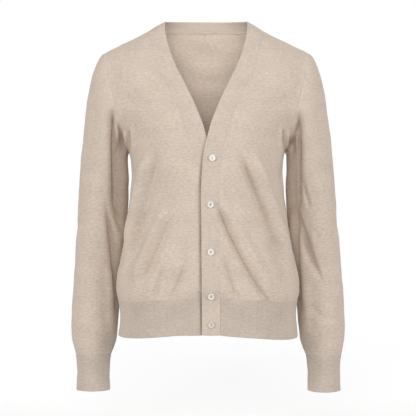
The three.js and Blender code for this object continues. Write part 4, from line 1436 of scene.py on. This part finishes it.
@dataclass(frozen=True)
class Studio:
    """The pale floor, the soft lights and the camera, in metres."""

    distance: float = 3.0
    centre: Pair = (0.0037, -0.344)
    width: float = 0.7696
    sensor: float = 36.0
    drop: float = 0.1
    floor_size: float = 60.0
    glow: float = 0.27
    ambient: float = 0.42
    white: float = 1.0
    lamp_power: float = 3.5
    lamp_cone: float = 36.0
    lamp_aim: float = 160.0
    lamp_size: float = 0.04
    lamp_spot: Triple = (0.0, -0.03, -0.33)

    def camera(self) -> None:
        """A level camera in front of the garment; its lens is sensor times distance over width."""
        data = bpy.data.cameras.new("camera")
        data.sensor_width = self.sensor
        data.lens = self.sensor * self.distance / self.width
        data.clip_end = 200.0
        spot = (self.centre[0], -self.distance, self.centre[1])
        bpy.context.scene.camera = placed("camera", data, spot, 90.0)

    def floor(self, lowest: float) -> None:
        """A wide flat floor below the garment, faintly lit from within."""
        material = Desk("studio_floor").finished({
            "Base Color": (0.93, 0.93, 0.93, 1.0), "Roughness": 1.0, "Specular IOR Level": 0.0,
            "Emission Color": WHITE, "Emission Strength": self.glow})
        corners = np.array([[-1.0, -1.0, 0.0], [1.0, -1.0, 0.0], [1.0, 1.0, 0.0], [-1.0, 1.0, 0.0]])
        points = (corners * self.floor_size + np.array([0.0, 0.0, lowest - self.drop])) / MM
        floor = add_object("studio_floor", points, np.array([[0, 1, 2, 3]]), corners[None, :, :2],
                           material)
        floor.visible_diffuse = False
        floor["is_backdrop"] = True

    def neck_lamp(self) -> None:
        """A small soft lamp low inside the chest, aimed up at the back of the neck."""
        data = bpy.data.lights.new("neck_light", "SPOT")
        data.energy = self.lamp_power
        data.spot_size = math.radians(self.lamp_cone)
        data.spot_blend = 1.0
        data.shadow_soft_size = self.lamp_size
        placed("neck_light", data, self.lamp_spot, self.lamp_aim)

    def surround(self) -> None:
        """An even white world that lights the garment gently and looks white itself."""
        world = bpy.data.worlds.new("studio_surround")
        world.use_nodes = True
        tree = world.node_tree
        tree.nodes.clear()
        output, mix, path = (tree.nodes.new(f"ShaderNode{kind}")
                             for kind in ("OutputWorld", "MixShader", "LightPath"))
        tree.links.new(path.outputs["Is Camera Ray"], mix.inputs["Fac"])
        for place, strength in ((1, self.ambient), (2, self.white)):
            light = tree.nodes.new("ShaderNodeBackground")
            light.inputs["Color"].default_value = WHITE
            light.inputs["Strength"].default_value = strength
            tree.links.new(light.outputs[0], mix.inputs[place])
        tree.links.new(mix.outputs[0], output.inputs["Surface"])
        bpy.context.scene.world = world

    def build(self, lowest: float) -> None:
        """Puts up the floor, the surround, the four suns, the lamp in the neck and the camera."""
        view = bpy.context.scene.view_settings
        view.view_transform = "Standard"
        view.look = "None"
        self.floor(lowest)
        self.surround()
        for sun in SUNS:
            sun.build()
        self.neck_lamp()
        self.camera()


# ---- the whole garment


def main() -> None:
    """Builds the garment in order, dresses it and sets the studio."""
    logging.basicConfig(level=logging.INFO, format="%(name)s: %(message)s")
    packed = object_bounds()
    jersey = KnitFinish("jersey_knit", (0.700, 0.588, 0.492), (0.520, 0.432, 0.357), wale=1.5,
                        flecks=1.1, slot="jersey", wall=2.0)
    rib = KnitFinish("rib_knit", (0.680, 0.578, 0.492), (0.500, 0.420, 0.354))
    # painted shade: this rib is the band rib darkened by about 7 %, to darken the hem ribs, the cuffs and
    # the neckband as shade would
    shaded_rib = KnitFinish("firm_rib_knit", (0.631, 0.537, 0.456), (0.464, 0.390, 0.328))
    for assembly in (Body(jersey, shaded_rib), Sleeves(jersey, shaded_rib), Bands(rib, shaded_rib)):
        assembly.build()
    # the third colour of a button finish is the painted shade of its dished middle
    clear = ButtonFinish("button_resin", (0.88, 0.83, 0.77), (0.72, 0.66, 0.59), (0.62, 0.55, 0.48))
    # painted shade: the lowest button gets the same resin about a third darker, for the shade low on the
    # front
    shaded_resin = ButtonFinish("dull_button_resin", (0.62, 0.54, 0.47), (0.50, 0.43, 0.37),
                        (0.47, 0.40, 0.34))
    for number, finish in enumerate((clear, clear, clear, clear, shaded_resin), start=1):
        Button(number, finish).build()
    Studio().build(packed[0].z)


if __name__ == "__main__":
    main()
